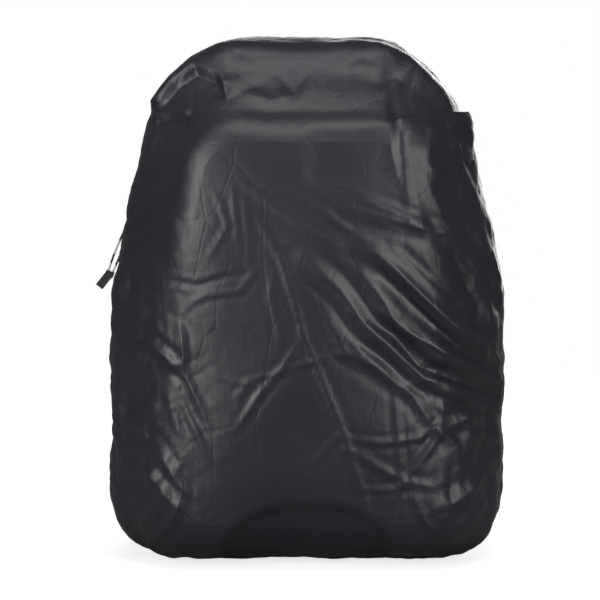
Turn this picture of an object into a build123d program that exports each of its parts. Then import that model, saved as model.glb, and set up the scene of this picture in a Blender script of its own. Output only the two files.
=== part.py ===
"""Soft tail bag for a motorcycle seat, standing on its lower end with its rain cover on.

Millimetres. +Z is up, -Y is the face that points up when the bag lies on a seat, and +Y is its base, which
lies on the seat. The origin is on the floor, under the middle of the bag. From back to front the bag is a
moulded base tray with pads and straps, an expansion zip, the main walls, the main zip, a lid and a pocket.
The rain cover goes over all of it up to its elastic hem, which sits just in front of the expansion zip.
"""

from build123d import *
from dataclasses import astuple, dataclass, replace
from math import atan2, cos, degrees, radians, sin, tan
import os


@dataclass(frozen=True)
class Outline:
    """The bag from the front, at one depth: its sides lean in above a knee, and its corners are rounded."""

    half: float  # half the width, below the knee
    half_top: float  # half the width at the top, before its corners are rounded
    low: float
    knee: float
    high: float
    r_low: float
    r_knee: float
    r_high: float

    @property
    def lean(self):
        return atan2(self.half - self.half_top, self.high - self.knee)

    def grown(self, by):
        """The outline that lies outside this one by the same distance all round."""
        return Outline(
            half=self.half + by,
            half_top=self.half_top + by * cos(self.lean) / (1 + sin(self.lean)),
            low=self.low - by,
            knee=self.knee + by * tan(self.lean / 2),
            high=self.high + by,
            r_low=self.r_low + by,
            r_knee=self.r_knee + by,
            r_high=self.r_high + by,
        )

    def draped(self, by):
        """The outline of fabric that hangs off this one by a distance, but lies on the floor below it."""
        return replace(self.grown(by), low=0.0, r_low=self.r_low + self.low)

    def mixed(self, other, share):
        return Outline(*(a + share * (b - a) for a, b in zip(astuple(self), astuple(other))))

    def half_at(self, z):
        """Half the width at a height on the straight side above the knee, or below it."""
        return self.half - max(0.0, z - self.knee) * tan(self.lean)

    def face(self, y):
        corners = [(self.half, self.low), (self.half, self.knee), (self.half_top, self.high)]
        radii = [self.r_low, self.r_knee, self.r_high]
        corners += [(-x, z) for x, z in reversed(corners)]
        line = FilletPolyline(*corners, radius=radii + radii[::-1], close=True)
        return (Plane.XZ.offset(-y) * make_face(line)).face()


# ---------------------------------------------------------------------------------------------
# Driving dimensions
# ---------------------------------------------------------------------------------------------

BAG_HALF_WIDTH = 178.0
BAG_TOP = 487.0  # top of the soft body
KNEE_HEIGHT = 285.0  # where the sides begin to lean in
BODY_DEPTH = 205.0  # base tray to pocket face
FLOOR_GAP = 5.5  # the cover's hem runs under the soft body, which clears the floor by this

# Depths, from the tray's rear face at the back (+Y) to the pocket's face at the front (-Y).
REAR = 112.0
TRAY_RIM = REAR - 19.0
EXPANSION_BACK = TRAY_RIM
EXPANSION_FRONT = EXPANSION_BACK - 21.0
HEM = EXPANSION_FRONT - 10.0
POCKET_FACE = TRAY_RIM - BODY_DEPTH
POCKET_ROOT = POCKET_FACE + 48.0
LID_FACE = POCKET_ROOT + 4.0
MAIN_ZIP_FRONT = LID_FACE + 16.0
MAIN_ZIP_BACK = MAIN_ZIP_FRONT + 16.0
POCKET_ZIP_BACK = POCKET_ROOT - 7.0
POCKET_ZIP_FRONT = POCKET_ZIP_BACK - 16.0

# Walls and clearances
WALL = 4.0  # padded wall: outer cloth, foam and lining cloth
POCKET_WALL = 3.0
TRAY_WALL = 3.5
TAPE = 1.2  # zip tape
COVER_CLOTH = 1.5
ELASTIC = 3.0
LINING = 0.8
SLIP = 0.8  # what must slide past something clears it by this
NEAR = 0.2  # what lies on something clears it by this

# ---------------------------------------------------------------------------------------------
# The soft body's outlines
# ---------------------------------------------------------------------------------------------

BACK_OUTLINE = Outline(
    half=BAG_HALF_WIDTH, half_top=BAG_HALF_WIDTH - 48, low=FLOOR_GAP, knee=KNEE_HEIGHT, high=BAG_TOP,
    r_low=56, r_knee=200, r_high=86,
)
MIDDLE_OUTLINE = replace(
    BACK_OUTLINE, half=BAG_HALF_WIDTH - 3, half_top=BAG_HALF_WIDTH - 52, high=BAG_TOP - 11,
    r_low=54, r_high=84,
)
LID_OUTLINE = replace(
    BACK_OUTLINE, half=BAG_HALF_WIDTH - 14, half_top=BAG_HALF_WIDTH - 60, low=FLOOR_GAP + 5,
    knee=KNEE_HEIGHT - 20, high=BAG_TOP - 36, r_low=50, r_high=74,
)
POCKET_ROOT_OUTLINE = replace(
    BACK_OUTLINE, half=BAG_HALF_WIDTH - 32, half_top=BAG_HALF_WIDTH - 66, low=FLOOR_GAP + 12,
    knee=KNEE_HEIGHT - 45, high=BAG_TOP - 58, r_low=46, r_knee=180, r_high=56,
)
POCKET_ZIP_OUTLINE = replace(
    POCKET_ROOT_OUTLINE, half=BAG_HALF_WIDTH - 36, half_top=BAG_HALF_WIDTH - 68, high=BAG_TOP - 61,
    r_high=54,
)
POCKET_FACE_OUTLINE = replace(
    POCKET_ROOT_OUTLINE, half=BAG_HALF_WIDTH - 46, half_top=BAG_HALF_WIDTH - 76, low=FLOOR_GAP + 24,
    knee=KNEE_HEIGHT - 50, high=BAG_TOP - 72, r_low=42, r_knee=160, r_high=46,
)
# The outline doesn't change along a zip, so that its slider runs straight.
BODY_STATIONS = [
    (TRAY_RIM, BACK_OUTLINE), (EXPANSION_FRONT, BACK_OUTLINE),
    (MAIN_ZIP_BACK, MIDDLE_OUTLINE), (MAIN_ZIP_FRONT, MIDDLE_OUTLINE), (LID_FACE, LID_OUTLINE),
]
POCKET_STATIONS = [
    (POCKET_ROOT, POCKET_ROOT_OUTLINE),
    (POCKET_ZIP_BACK, POCKET_ZIP_OUTLINE), (POCKET_ZIP_FRONT, POCKET_ZIP_OUTLINE),
    (POCKET_FACE, POCKET_FACE_OUTLINE),
]


def outline_at(stations, y):
    """The outline at a depth, between the two stations on each side of it."""
    for (back, a), (front, b) in zip(stations, stations[1:]):
        if back >= y >= front:
            return a.mixed(b, (back - y) / (back - front))
    raise ValueError(f"no outline at y = {y}")


def lofted(sections):
    """A solid through outlines, each given with its depth."""
    return loft([outline.face(y) for y, outline in sections], ruled=True)


def prism(outline, back, front):
    """A solid with one outline from depth to depth."""
    return extrude(outline.face(front), amount=front - back)


def sleeve(stations, back, front, wall):
    """A wall of one thickness all round the bag, from depth to depth."""
    depths = [back] + [y for y, _ in stations if back > y > front] + [front]
    sections = [(y, outline_at(stations, y)) for y in depths]
    return lofted(sections) - lofted([(y, outline.grown(-wall)) for y, outline in sections])


def rod(line, radius):
    """A round rod along a line."""
    return sweep(Plane(origin=line @ 0, z_dir=line % 0) * Circle(radius), path=line)


def about(middle, half):
    """A span on each side of its middle."""
    return (middle - half, middle + half)


def block(x, y, z):
    """A box between two values on each axis."""
    size = [abs(b - a) for a, b in (x, y, z)]
    return Pos(*(min(pair) for pair in (x, y, z))) * Box(*size, align=(Align.MIN, Align.MIN, Align.MIN))


WIDE = 2 * BAG_HALF_WIDTH + BAG_TOP  # longer than the bag on any axis


def below(z):
    return block((-WIDE, WIDE), (-WIDE, WIDE), (-WIDE, z))


def above(z):
    return block((-WIDE, WIDE), (-WIDE, WIDE), (z, WIDE))


def left_half():
    return block((-WIDE, 0), (-WIDE, WIDE), (-WIDE, WIDE))


# ---------------------------------------------------------------------------------------------
# Soft walls, lid and pocket
# ---------------------------------------------------------------------------------------------

LOW_SEAM = FLOOR_GAP + BACK_OUTLINE.r_low  # the bottom panel is sewn to the sides here
HIGH_SEAM = BAG_TOP - BACK_OUTLINE.r_high  # and the top panel here


def make_walls():
    ring = sleeve(BODY_STATIONS, EXPANSION_FRONT, MAIN_ZIP_BACK, WALL)
    sides = ring - below(LOW_SEAM) - above(HIGH_SEAM)
    return {
        "bottom_panel": ring & below(LOW_SEAM),
        "top_panel": ring & above(HIGH_SEAM),
        "side_panel_left": sides & left_half(),
        "side_panel_right": sides - left_half(),
    }


def make_lid():
    rim = sleeve(BODY_STATIONS, MAIN_ZIP_FRONT, LID_FACE, WALL)
    panel = prism(LID_OUTLINE, LID_FACE, POCKET_ROOT)
    return {"lid_gusset": rim, "lid_panel": panel}


PIPING = 3.4  # diameter of the corded edge binding


def piping(outline, back):
    """A corded binding that lies round an outline. back is the depth of what it lies in front of."""
    radius = PIPING / 2
    return rod(outline.grown(radius + NEAR).face(back - NEAR - radius).outer_wire(), radius)


def make_pocket():
    gusset = sleeve(POCKET_STATIONS, POCKET_ROOT, POCKET_FACE + POCKET_WALL, POCKET_WALL)
    band = zip_band(POCKET_ZIP)
    face = prism(POCKET_FACE_OUTLINE, POCKET_FACE + POCKET_WALL, POCKET_FACE)
    return {"pocket_gusset": gusset - band, "pocket_panel": face}


def make_lining():
    """The loose inner cloth of the main compartment."""
    inset = WALL + NEAR
    depths = [EXPANSION_FRONT, MAIN_ZIP_BACK, MAIN_ZIP_FRONT, LID_FACE + NEAR]
    sections = [(y, outline_at(BODY_STATIONS, y).grown(-inset)) for y in depths]
    return lofted(sections) - lofted([(y, outline.grown(-LINING)) for y, outline in sections])


# ---------------------------------------------------------------------------------------------
# Zips. Each one runs round an outline at one depth.
# ---------------------------------------------------------------------------------------------

COIL_WIDTH = 5.0
COIL_HEIGHT = 1.8
TEETH_CLEARANCE = 0.25


@dataclass(frozen=True)
class Zip:
    outline: Outline
    back: float
    front: float
    foot: float  # the zip's legs end here, or it goes all round if this is below the bag

    @property
    def middle(self):
        return (self.back + self.front) / 2

    def side_frame(self, z):
        """On the left leaning side at a height: x up along the zip, y across it, z out of the bag."""
        lean = self.outline.lean
        return Plane(
            origin=(-self.outline.half_at(z), self.middle, z),
            x_dir=(sin(lean), 0, cos(lean)),
            z_dir=(-cos(lean), 0, sin(lean)),
        )

    def top_frame(self, x, along):
        """On top of the bag: x along the zip, to the left or right, y across it, z up."""
        return Plane(origin=(x, self.middle, self.outline.high), x_dir=(along, 0, 0), z_dir=(0, 0, 1))


EXPANSION_ZIP = Zip(outline=BACK_OUTLINE, back=EXPANSION_BACK, front=EXPANSION_FRONT, foot=0.0)
MAIN_ZIP = Zip(outline=MIDDLE_OUTLINE, back=MAIN_ZIP_BACK, front=MAIN_ZIP_FRONT, foot=LOW_SEAM)
POCKET_ZIP = Zip(
    outline=POCKET_ZIP_OUTLINE, back=POCKET_ZIP_BACK, front=POCKET_ZIP_FRONT, foot=KNEE_HEIGHT - 60,
)


def zip_band(it):
    """The whole space of a zip and of the wall that its tape is let into."""
    return prism(it.outline.grown(WALL), it.back, it.front) & above(it.foot)


def zip_tape(it):
    return prism(it.outline, it.back, it.front) - prism(it.outline.grown(-TAPE), it.back, it.front)


def zip_coil(it):
    back, front = it.middle + COIL_WIDTH / 2, it.middle - COIL_WIDTH / 2
    ring = prism(it.outline.grown(COIL_HEIGHT), back, front) - prism(it.outline, back, front)
    return ring & above(it.foot)


PLEAT_DEPTH = 18.0
PLEAT_CLOTH = 1.0


def make_pleat():
    """The spare cloth that the expansion zip holds folded: a channel that is open towards the zip."""
    mouth = EXPANSION_ZIP.outline.grown(-TAPE - NEAR)
    back, front = EXPANSION_BACK - 2, EXPANSION_FRONT + 2
    fold = prism(mouth, back, front) - prism(mouth.grown(-PLEAT_DEPTH), back, front)
    return fold - prism(mouth.grown(-PLEAT_CLOTH), back - PLEAT_CLOTH, front + PLEAT_CLOTH)


def make_zip_parts():
    return {
        "expansion_zip_tape": zip_tape(EXPANSION_ZIP),
        "expansion_zip_coil": zip_coil(EXPANSION_ZIP),
        "expansion_pleat": make_pleat(),
        "main_zip_tape": zip_tape(MAIN_ZIP),
        "main_zip_coil": zip_coil(MAIN_ZIP),
        "pocket_zip_tape": zip_tape(POCKET_ZIP) & above(POCKET_ZIP.foot),
        "pocket_zip_coil": zip_coil(POCKET_ZIP),
    }


# The slider, in its zip's frame
SLIDER_LENGTH = 12.0
SLIDER_WIDTH = COIL_WIDTH + 4.5
SLIDER_HEIGHT = COIL_HEIGHT + TEETH_CLEARANCE + 2.15
CROWN_BAR = 1.4
CROWN_HEIGHT = SLIDER_HEIGHT + 2.8 + CROWN_BAR  # top of the arch that holds the pull
CROWN_WIDTH = 2.2
CROWN_SPAN = 8.0

# The pull: a metal tab, a cord loop and a moulded grip. It is drawn along its own x, away from the slider.
CORD = 2.2  # cord diameter
TAB_LENGTH = 17.0
TAB_WIDTH = 7.0
TAB_THICK = 1.0
TAB_WINDOW = CORD + 1.2
TAB_BAR = 1.5
EYE_END = 6.9  # from the hinge to the far end of the eye that the crown goes through
# The cord's loop, from the grip to the fold in the tab's window and back: along the pull, and off its middle
CORD_ROUTE = [
    (53.0, -2.0), (36.0, -2.8), (18.0, -2.9), (8.0, -2.5), (2.7, -2.8), (0.0, -1.7),
    (0.0, 1.7), (2.7, 2.9), (8.0, 2.6), (18.0, 3.3), (36.0, 3.2), (53.0, 2.0),
]
GRIP_LENGTH = 17.0
GRIP_WIDTH = 2 * abs(CORD_ROUTE[0][1]) + CORD + 2.0
GRIP_SOCKET = 5.0  # how deep the strands go into the grip
GRIP_BEND = 16.0  # degrees between the cord and the grip
MOULDED_LENGTH = 30.0
MOULDED_THICK = 2.2


def make_slider():
    body = block(about(0, SLIDER_LENGTH / 2), about(0, SLIDER_WIDTH / 2), (NEAR, SLIDER_HEIGHT))
    body = fillet(body.edges().filter_by(Axis.Z), 2.6)
    body = fillet(body.faces().sort_by(Axis.Z)[-1].edges(), 0.8)
    half = COIL_WIDTH / 2 + TEETH_CLEARANCE
    body -= block((-SLIDER_LENGTH, SLIDER_LENGTH), (-half, half), (-1, COIL_HEIGHT + TEETH_CLEARANCE))
    reach, foot, top = CROWN_SPAN / 2, SLIDER_HEIGHT - 0.5, CROWN_HEIGHT - CROWN_BAR / 2
    arch = FilletPolyline((-reach, foot), (-reach, top), (reach, top), (reach, foot), radius=1.8)
    return body + extrude(Plane.XZ * trace(arch, line_width=CROWN_BAR), amount=CROWN_WIDTH / 2, both=True)


def make_tab(length):
    """The flat metal piece that hangs in the slider's crown by the bar at its end."""
    half = TAB_WIDTH / 2
    eye_half = CROWN_WIDTH / 2 + 0.5
    tab = block((-TAB_BAR / 2, length), (-half, half), (-TAB_THICK / 2, TAB_THICK / 2))
    tab = fillet(tab.edges().filter_by(Axis.Z), TAB_BAR / 2)
    return tab - block((TAB_BAR / 2, EYE_END), (-eye_half, eye_half), (-TAB_THICK, TAB_THICK))


def cord_radii(points):
    """The largest arc that the two runs allow at each corner."""
    radii = []
    for a, b, c in zip(points, points[1:], points[2:]):
        turn = radians((b - a).get_angle(c - b))
        radii.append(0.45 * min((b - a).length, (c - b).length) / tan(turn / 2))
    return radii


def make_cord_pull():
    """Tab, cord and grip along +x from the hinge at the origin. z is away from the bag."""
    window = (TAB_LENGTH - TAB_BAR - TAB_WINDOW, TAB_LENGTH - TAB_BAR)
    tab = make_tab(TAB_LENGTH) - block(window, about(0, TAB_WIDTH / 2 - TAB_BAR), about(0, TAB_THICK))

    fold = window[1] - 2 * NEAR - CORD / 2
    points = [Vector(fold + along, 0, off) for along, off in CORD_ROUTE]
    radii = cord_radii(points)
    cord = rod(FilletPolyline(*points, radius=radii), CORD / 2)
    print("pull cord radii", [round(radius, 1) for radius in radii])

    mouth = fold + CORD_ROUTE[0][0] - GRIP_SOCKET
    width = about(0, GRIP_WIDTH / 2)
    neck = Pos(mouth, 0, 0) * block((0, GRIP_SOCKET + 1), width, width)
    body = Pos(mouth + GRIP_SOCKET / 2, 0, 0) * Rot(0, -GRIP_BEND, 0) * block((0, GRIP_LENGTH), width, width)
    return {"pull_tab": tab, "pull_cord": cord, "pull_grip": neck + body - cord}


def make_moulded_pull():
    """A one-piece pull for the zips that the cover lies on."""
    half = TAB_WIDTH / 2
    grip = block((EYE_END + TAB_BAR, MOULDED_LENGTH), about(0, half), (-TAB_THICK / 2, MOULDED_THICK))
    return {"pull": make_tab(EYE_END + 2 * TAB_BAR) + fillet(grip.edges().filter_by(Axis.Z), 2.0)}


# Where the pull hangs in the slider's crown, in the zip's frame
HINGE_POINT = (CROWN_SPAN / 2 - 3.0, 0, (SLIDER_HEIGHT + CROWN_HEIGHT - CROWN_BAR) / 2)


def place(name, frame, swing, pull):
    """The slider and its pull on a zip. swing is the pull's angle off the bag, in degrees."""
    turned = frame.location * Pos(*HINGE_POINT) * Rot(0, 0, 180) * Rot(0, -swing, 0)
    placed = {f"{name}_slider": frame.location * make_slider()}
    for part, piece in pull.items():
        placed[f"{name}_{part}"] = turned * piece
    return placed


SIDE_SLIDER_HEIGHT = KNEE_HEIGHT + 40.0
SIDE_SWING = 9.0
POCKET_SLIDER_HEIGHT = KNEE_HEIGHT - 10.0
FLAT_SWING = 1.5
SLIDERS_APART = 15.0  # each main slider from the middle of the zip


def make_sliders():
    side = EXPANSION_ZIP.side_frame(SIDE_SLIDER_HEIGHT)
    pocket_side = POCKET_ZIP.side_frame(POCKET_SLIDER_HEIGHT)
    return {
        **place("expansion", side, SIDE_SWING, make_cord_pull()),
        **place("main_left", MAIN_ZIP.top_frame(-SLIDERS_APART, 1), FLAT_SWING, make_moulded_pull()),
        **place("main_right", MAIN_ZIP.top_frame(SLIDERS_APART, -1), FLAT_SWING, make_moulded_pull()),
        **place("pocket", pocket_side, FLAT_SWING, make_moulded_pull()),
    }


# ---------------------------------------------------------------------------------------------
# Base tray, its pads and board
# ---------------------------------------------------------------------------------------------

TRAY_OUTLINE = BACK_OUTLINE.draped(FLOOR_GAP - 1.0)
PAD_HEIGHT = 14.0
PAD_INSET = 20.0
PAD_CORNER = 12.0
WEBBING = 25.0
BUCKLE_CHEEK = 3.0
BUCKLE_HALF = WEBBING / 2 + 2.5 + BUCKLE_CHEEK  # half the buckle's width
STRAP_CHANNEL = 2 * (BUCKLE_HALF + 4.0)
LOWER_STRAP = 146.0
UPPER_STRAP = BAG_TOP - 169.0
PADS_LOW = 20.0
PADS_HIGH = BAG_TOP - 67.0


def make_base():
    tray = prism(TRAY_OUTLINE, REAR, TRAY_RIM)
    tray -= prism(TRAY_OUTLINE.grown(-TRAY_WALL), REAR - TRAY_WALL, TRAY_RIM)
    tray = fillet(tray.faces().sort_by(Axis.Y)[-1].outer_wire().edges(), 3.0)
    pads = {}
    half_channel = STRAP_CHANNEL / 2
    bands = {
        "lower": (PADS_LOW, LOWER_STRAP - half_channel),
        "middle": (LOWER_STRAP + half_channel, UPPER_STRAP - half_channel),
        "upper": (UPPER_STRAP + half_channel, PADS_HIGH),
    }
    for name, (low, high) in bands.items():
        pad = prism(TRAY_OUTLINE.grown(-PAD_INSET), REAR + PAD_HEIGHT, REAR) - below(low) - above(high)
        ends = [edge.center().Z for edge in pad.edges().filter_by(Axis.Y)]
        corners = [e for e, z in zip(pad.edges().filter_by(Axis.Y), ends) if min(z - low, high - z) < 1]
        pad = fillet(corners, PAD_CORNER)
        pad = fillet(pad.faces().sort_by(Axis.Y)[-1].outer_wire().edges(), 4.0)
        pads[f"{name}_pad"] = pad
    return {"base_tray": tray, **pads}


# ---------------------------------------------------------------------------------------------
# Mounting straps, one in each channel of the base
# ---------------------------------------------------------------------------------------------

WEB_THICK = 1.5
BAR = 1.6  # radius of every bar that webbing goes round
LOOP = BAR + 0.15 + WEB_THICK / 2  # radius of webbing round a bar, at its middle
KEEPER_THICK = 0.8
WEB_Y = REAR + KEEPER_THICK + 2 * NEAR + WEB_THICK / 2  # middle of a strap, which the keeper goes under
BAR_Y = WEB_Y + LOOP
TAB_Y = REAR + WEB_THICK / 2  # middle of the tabs that are sewn to the tray
SEWN = 20.0
TAB_END_INSET = 7.0
RING_BARS_APART = 13.0


def webbing(points, z, radii):
    """Webbing laid along points of x and y, at a height."""
    line = FilletPolyline(*points, radius=radii)
    strip = trace(line, line_width=WEB_THICK)
    return Pos(0, 0, z - WEBBING / 2) * extrude(strip, amount=WEBBING)


def end_loop(x, inward, overlap):
    """Points and radii for webbing that goes out under a bar, round it, and back over itself."""
    over = WEB_Y + WEB_THICK + 0.06
    top = WEB_Y + 2 * LOOP
    points = [
        (x - inward * LOOP, WEB_Y), (x - inward * LOOP, top), (x + inward * 2.0, top),
        (x + inward * 9.0, over), (x + inward * (9.0 + overlap), over),
    ]
    return points, [LOOP * 0.98, LOOP * 0.98, 2.5, 2.5]


def strap_with_loops(left_bar, right_bar, z, left_overlap=SEWN, right_overlap=SEWN):
    left, left_radii = end_loop(left_bar, 1, left_overlap)
    right, right_radii = end_loop(right_bar, -1, right_overlap)
    return webbing(left[::-1] + right, z, left_radii[::-1] + right_radii)


def anchor_tab(bar, side, end, z):
    """The sewn tab that holds a ring at the tray's edge. side is 1 on the right and -1 on the left."""
    points, radii = end_loop(bar, side, abs(end - bar) - 12.0)
    step = [(end, TAB_Y), (bar + side * 9.0, TAB_Y), (bar + side * 4.0, WEB_Y)]
    return webbing(step + points, z, [2.5, 2.5] + radii)


def ring(inner_bar, outer_bar, z):
    long = WEBBING + 2 * BAR + 2.0
    middle = Pos((inner_bar + outer_bar) / 2, BAR_Y, z) * Rot(90, 0, 0)
    return rod((middle * RectangleRounded(RING_BARS_APART, long, 3.0)).face().outer_wire(), BAR)


# Side-release buckle. It is drawn along x, with its middle plane in the middle of its thickness.
BUCKLE_THICK = 10.0
SOCKET_LENGTH = 31.0
SOCKET_SKIN = 2.0
SOCKET_SIDE = 3.2
WINDOW = (7.0, 20.0)  # side windows, from the closed end of the socket
PLUG_LENGTH = 19.0
PLUG_GAP = 0.4
BAR_REACH = 8.0  # from each half's body to the middle of its webbing bar
GUIDE_REACH = 25.0
GUIDE_HALF = 2.4
ARM_ROOT_Z = BUCKLE_HALF - 8.5
ARM_WIDTH = 4.0
ARM_REACH = 22.0
ARM_ROOT_IN = 4.0  # how far the arm's root lies inside the plug
ARM_CLEARANCE = 0.3
BUCKLE_Y = REAR + 0.3 + BUCKLE_THICK / 2


def bar_frame(x_bar, x_body, z):
    """The bar that webbing goes round and the two cheeks that join it to a buckle half."""
    low, high = sorted((x_bar, x_body))
    low, high = (low - BAR, high) if low == x_bar else (low, high + BAR)
    bar = Pos(x_bar, BAR_Y, z) * Cylinder(BAR, 2 * BUCKLE_HALF - 1)
    for side in (-1, 1):
        cheek = about(z + side * (BUCKLE_HALF - BUCKLE_CHEEK / 2), BUCKLE_CHEEK / 2)
        bar += block((low, high), about(BAR_Y, BAR), cheek)
    return bar


def buckle_body(x, z):
    """The rounded outer shape of one buckle half, between two values of x."""
    return fillet(block(x, about(BUCKLE_Y, BUCKLE_THICK / 2), about(z, BUCKLE_HALF)).edges(), 1.6)


def make_socket(x, z):
    """The female half. x is its closed end, and its mouth is at x + SOCKET_LENGTH."""
    mouth = x + SOCKET_LENGTH
    inner_y = BUCKLE_THICK / 2 - SOCKET_SKIN
    inner_z = BUCKLE_HALF - SOCKET_SIDE
    body = buckle_body((x, mouth), z)
    body -= block((x + SOCKET_SKIN, mouth + 1), about(BUCKLE_Y, inner_y), about(z, inner_z))
    body -= block((x + WINDOW[0], x + WINDOW[1]), about(BUCKLE_Y, inner_y), about(z, BUCKLE_HALF + 1))
    return body + bar_frame(x - BAR_REACH, x + 1, z)


def make_plug(mouth, z):
    """The male half without its arms: the grip, the webbing bar and the guide that goes into the socket."""
    start = mouth + PLUG_GAP
    end = start + PLUG_LENGTH
    guide_y = BUCKLE_THICK / 2 - SOCKET_SKIN - ARM_CLEARANCE
    body = buckle_body((start, end), z)
    body += block((mouth - GUIDE_REACH, start + 1), about(BUCKLE_Y, guide_y), about(z, GUIDE_HALF))
    notch = (start - 1, start + ARM_ROOT_IN + ARM_WIDTH / 2 + ARM_CLEARANCE)
    for side in (-1, 1):
        room = about(z + side * ARM_ROOT_Z, ARM_WIDTH / 2 + 1.2)
        body -= block(notch, about(BUCKLE_Y, guide_y + ARM_CLEARANCE), room)
    return body + bar_frame(end + BAR_REACH, end - 1, z)


def make_arm(mouth, z, side):
    """One springy arm of the plug, with the barb that catches in the socket's window."""
    guide_y = BUCKLE_THICK / 2 - SOCKET_SKIN - ARM_CLEARANCE
    root = mouth + PLUG_GAP + ARM_ROOT_IN
    tip = mouth - ARM_REACH
    window_mouth = mouth - SOCKET_LENGTH + WINDOW[1] - ARM_CLEARANCE
    near = ARM_ROOT_Z - ARM_WIDTH / 2
    far = ARM_ROOT_Z + ARM_WIDTH / 2
    barb = BUCKLE_HALF - 0.6
    outline = [
        (root, near), (tip + 3, near + 1.2), (tip, near + 3.0), (tip, far + 1.0),
        (tip + 3.5, barb), (window_mouth, barb), (window_mouth, far), (root, far),
    ]
    arm = make_face(Polyline(*((x, z + side * w) for x, w in outline), close=True))
    arm += Pos(root, z + side * ARM_ROOT_Z) * Circle(ARM_WIDTH / 2)
    return Plane.XZ.offset(-BUCKLE_Y) * extrude(arm, amount=guide_y, both=True)


TAIL = 52.0  # loose end of the strap beyond the buckle
RIGHT_SEWN = 14.0
KEEPER = 12.0
KEEPER_PLACE = 50.0  # from the plug's bar
BUCKLE_MIDDLE = -4.0  # the socket's mouth, from the middle of the bag


def make_keeper(x, z):
    """The elastic loop that holds a strap's loose end down."""
    low = REAR + NEAR + KEEPER_THICK
    high = WEB_Y + 1.5 * WEB_THICK + 2 * NEAR
    half = WEBBING / 2 + NEAR
    skin = KEEPER_THICK
    outer = block(about(x, KEEPER / 2), (low - skin, high + skin), about(z, half + skin))
    return outer - block(about(x, KEEPER), (low, high), about(z, half))


def make_strap(name, z):
    tray_half = TRAY_OUTLINE.half_at(z + WEBBING / 2)
    tab_end = tray_half - TAB_END_INSET
    outer_bar = tab_end - 17.0
    inner_bar = outer_bar - RING_BARS_APART
    mouth = BUCKLE_MIDDLE
    socket_end = mouth - SOCKET_LENGTH
    plug_bar = mouth + PLUG_GAP + PLUG_LENGTH + BAR_REACH
    made = {
        f"{name}_strap_fixed": strap_with_loops(-inner_bar, socket_end - BAR_REACH, z),
        f"{name}_strap_adjust": strap_with_loops(plug_bar, inner_bar, z, TAIL, RIGHT_SEWN),
        f"{name}_buckle_socket": make_socket(socket_end, z),
        f"{name}_buckle_plug": make_plug(mouth, z),
        f"{name}_keeper": make_keeper(plug_bar + KEEPER_PLACE, z),
    }
    for side, place in ((-1, "left"), (1, "right")):
        made[f"{name}_{place}_tab"] = anchor_tab(side * outer_bar, side, side * tab_end, z)
        made[f"{name}_{place}_ring"] = ring(side * inner_bar, side * outer_bar, z)
    for side, place in ((-1, "a"), (1, "b")):
        made[f"{name}_latch_{place}"] = make_arm(mouth, z, side)
    return made


# ---------------------------------------------------------------------------------------------
# Carry handle at the top of the base
# ---------------------------------------------------------------------------------------------

HANDLE_SPAN = 116.0  # between the middles of its two brackets
HANDLE_HEIGHT = BAG_TOP - 21.0
HANDLE_DROP = 27.0
HANDLE_Y = REAR + 7.5
HANDLE_PIN = 2.0
PIN_CLEARANCE = 0.08
LUG = 9.0
LUG_RADIUS = HANDLE_PIN + 2.6
BRACKET_CHEEK = 3.5
GRIP_THICK = 12.0


def make_bracket(x):
    """One of the handle's brackets, with its pin."""
    inner = LUG / 2 + 0.3
    outer = inner + BRACKET_CHEEK
    plate = block((-outer, outer), (REAR, REAR + 2.4), (-9, 9))
    for low, high in ((-outer, -inner), (inner, outer)):
        plate += block((low, high), (REAR, HANDLE_Y), (-LUG_RADIUS, LUG_RADIUS))
        plate += Pos((low + high) / 2, HANDLE_Y, 0) * Rot(0, 90, 0) * Cylinder(LUG_RADIUS, BRACKET_CHEEK)
    plate += Pos(0, HANDLE_Y, 0) * Rot(0, 90, 0) * Cylinder(HANDLE_PIN, 2 * outer + 1.6)
    return Pos(x, 0, HANDLE_HEIGHT) * plate


def make_handle():
    half = HANDLE_SPAN / 2
    drop = HANDLE_HEIGHT - HANDLE_DROP
    corners = [(-half, HANDLE_HEIGHT), (-half, drop), (half, drop), (half, HANDLE_HEIGHT)]
    path = FilletPolyline(*((x, HANDLE_Y, z) for x, z in corners), radius=18.0)
    strap = sweep(Plane(origin=path @ 0, z_dir=path % 0) * RectangleRounded(LUG - 1, 5.0, 2.0), path=path)
    for side in (-1, 1):
        at = Pos(side * half, HANDLE_Y, HANDLE_HEIGHT) * Rot(0, 90, 0)
        strap += at * Cylinder(LUG_RADIUS, LUG)
        strap -= at * Cylinder(HANDLE_PIN + PIN_CLEARANCE, 2 * LUG)
    grip = Pos(0, HANDLE_Y, drop) * Rot(0, 90, 0) * Cylinder(GRIP_THICK / 2, HANDLE_SPAN - 48)
    grip = fillet(grip.edges(), 3.0) - strap
    return {
        "handle_strap": strap,
        "handle_grip": grip,
        "handle_bracket_left": make_bracket(-half),
        "handle_bracket_right": make_bracket(half),
    }


# ---------------------------------------------------------------------------------------------
# Rain cover
# ---------------------------------------------------------------------------------------------

HEM_SLACK = SLIP + ELASTIC + NEAR + COVER_CLOTH  # from the bag to the outside of the hem
FULL_SLACK = 13.0  # where the cover stands furthest off the bag
FULL_DEPTH = HEM - 50.0
HEM_WIDTH = 8.0
PRESSED = 0.3  # how far the floor flattens the cloth that lies on it


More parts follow.
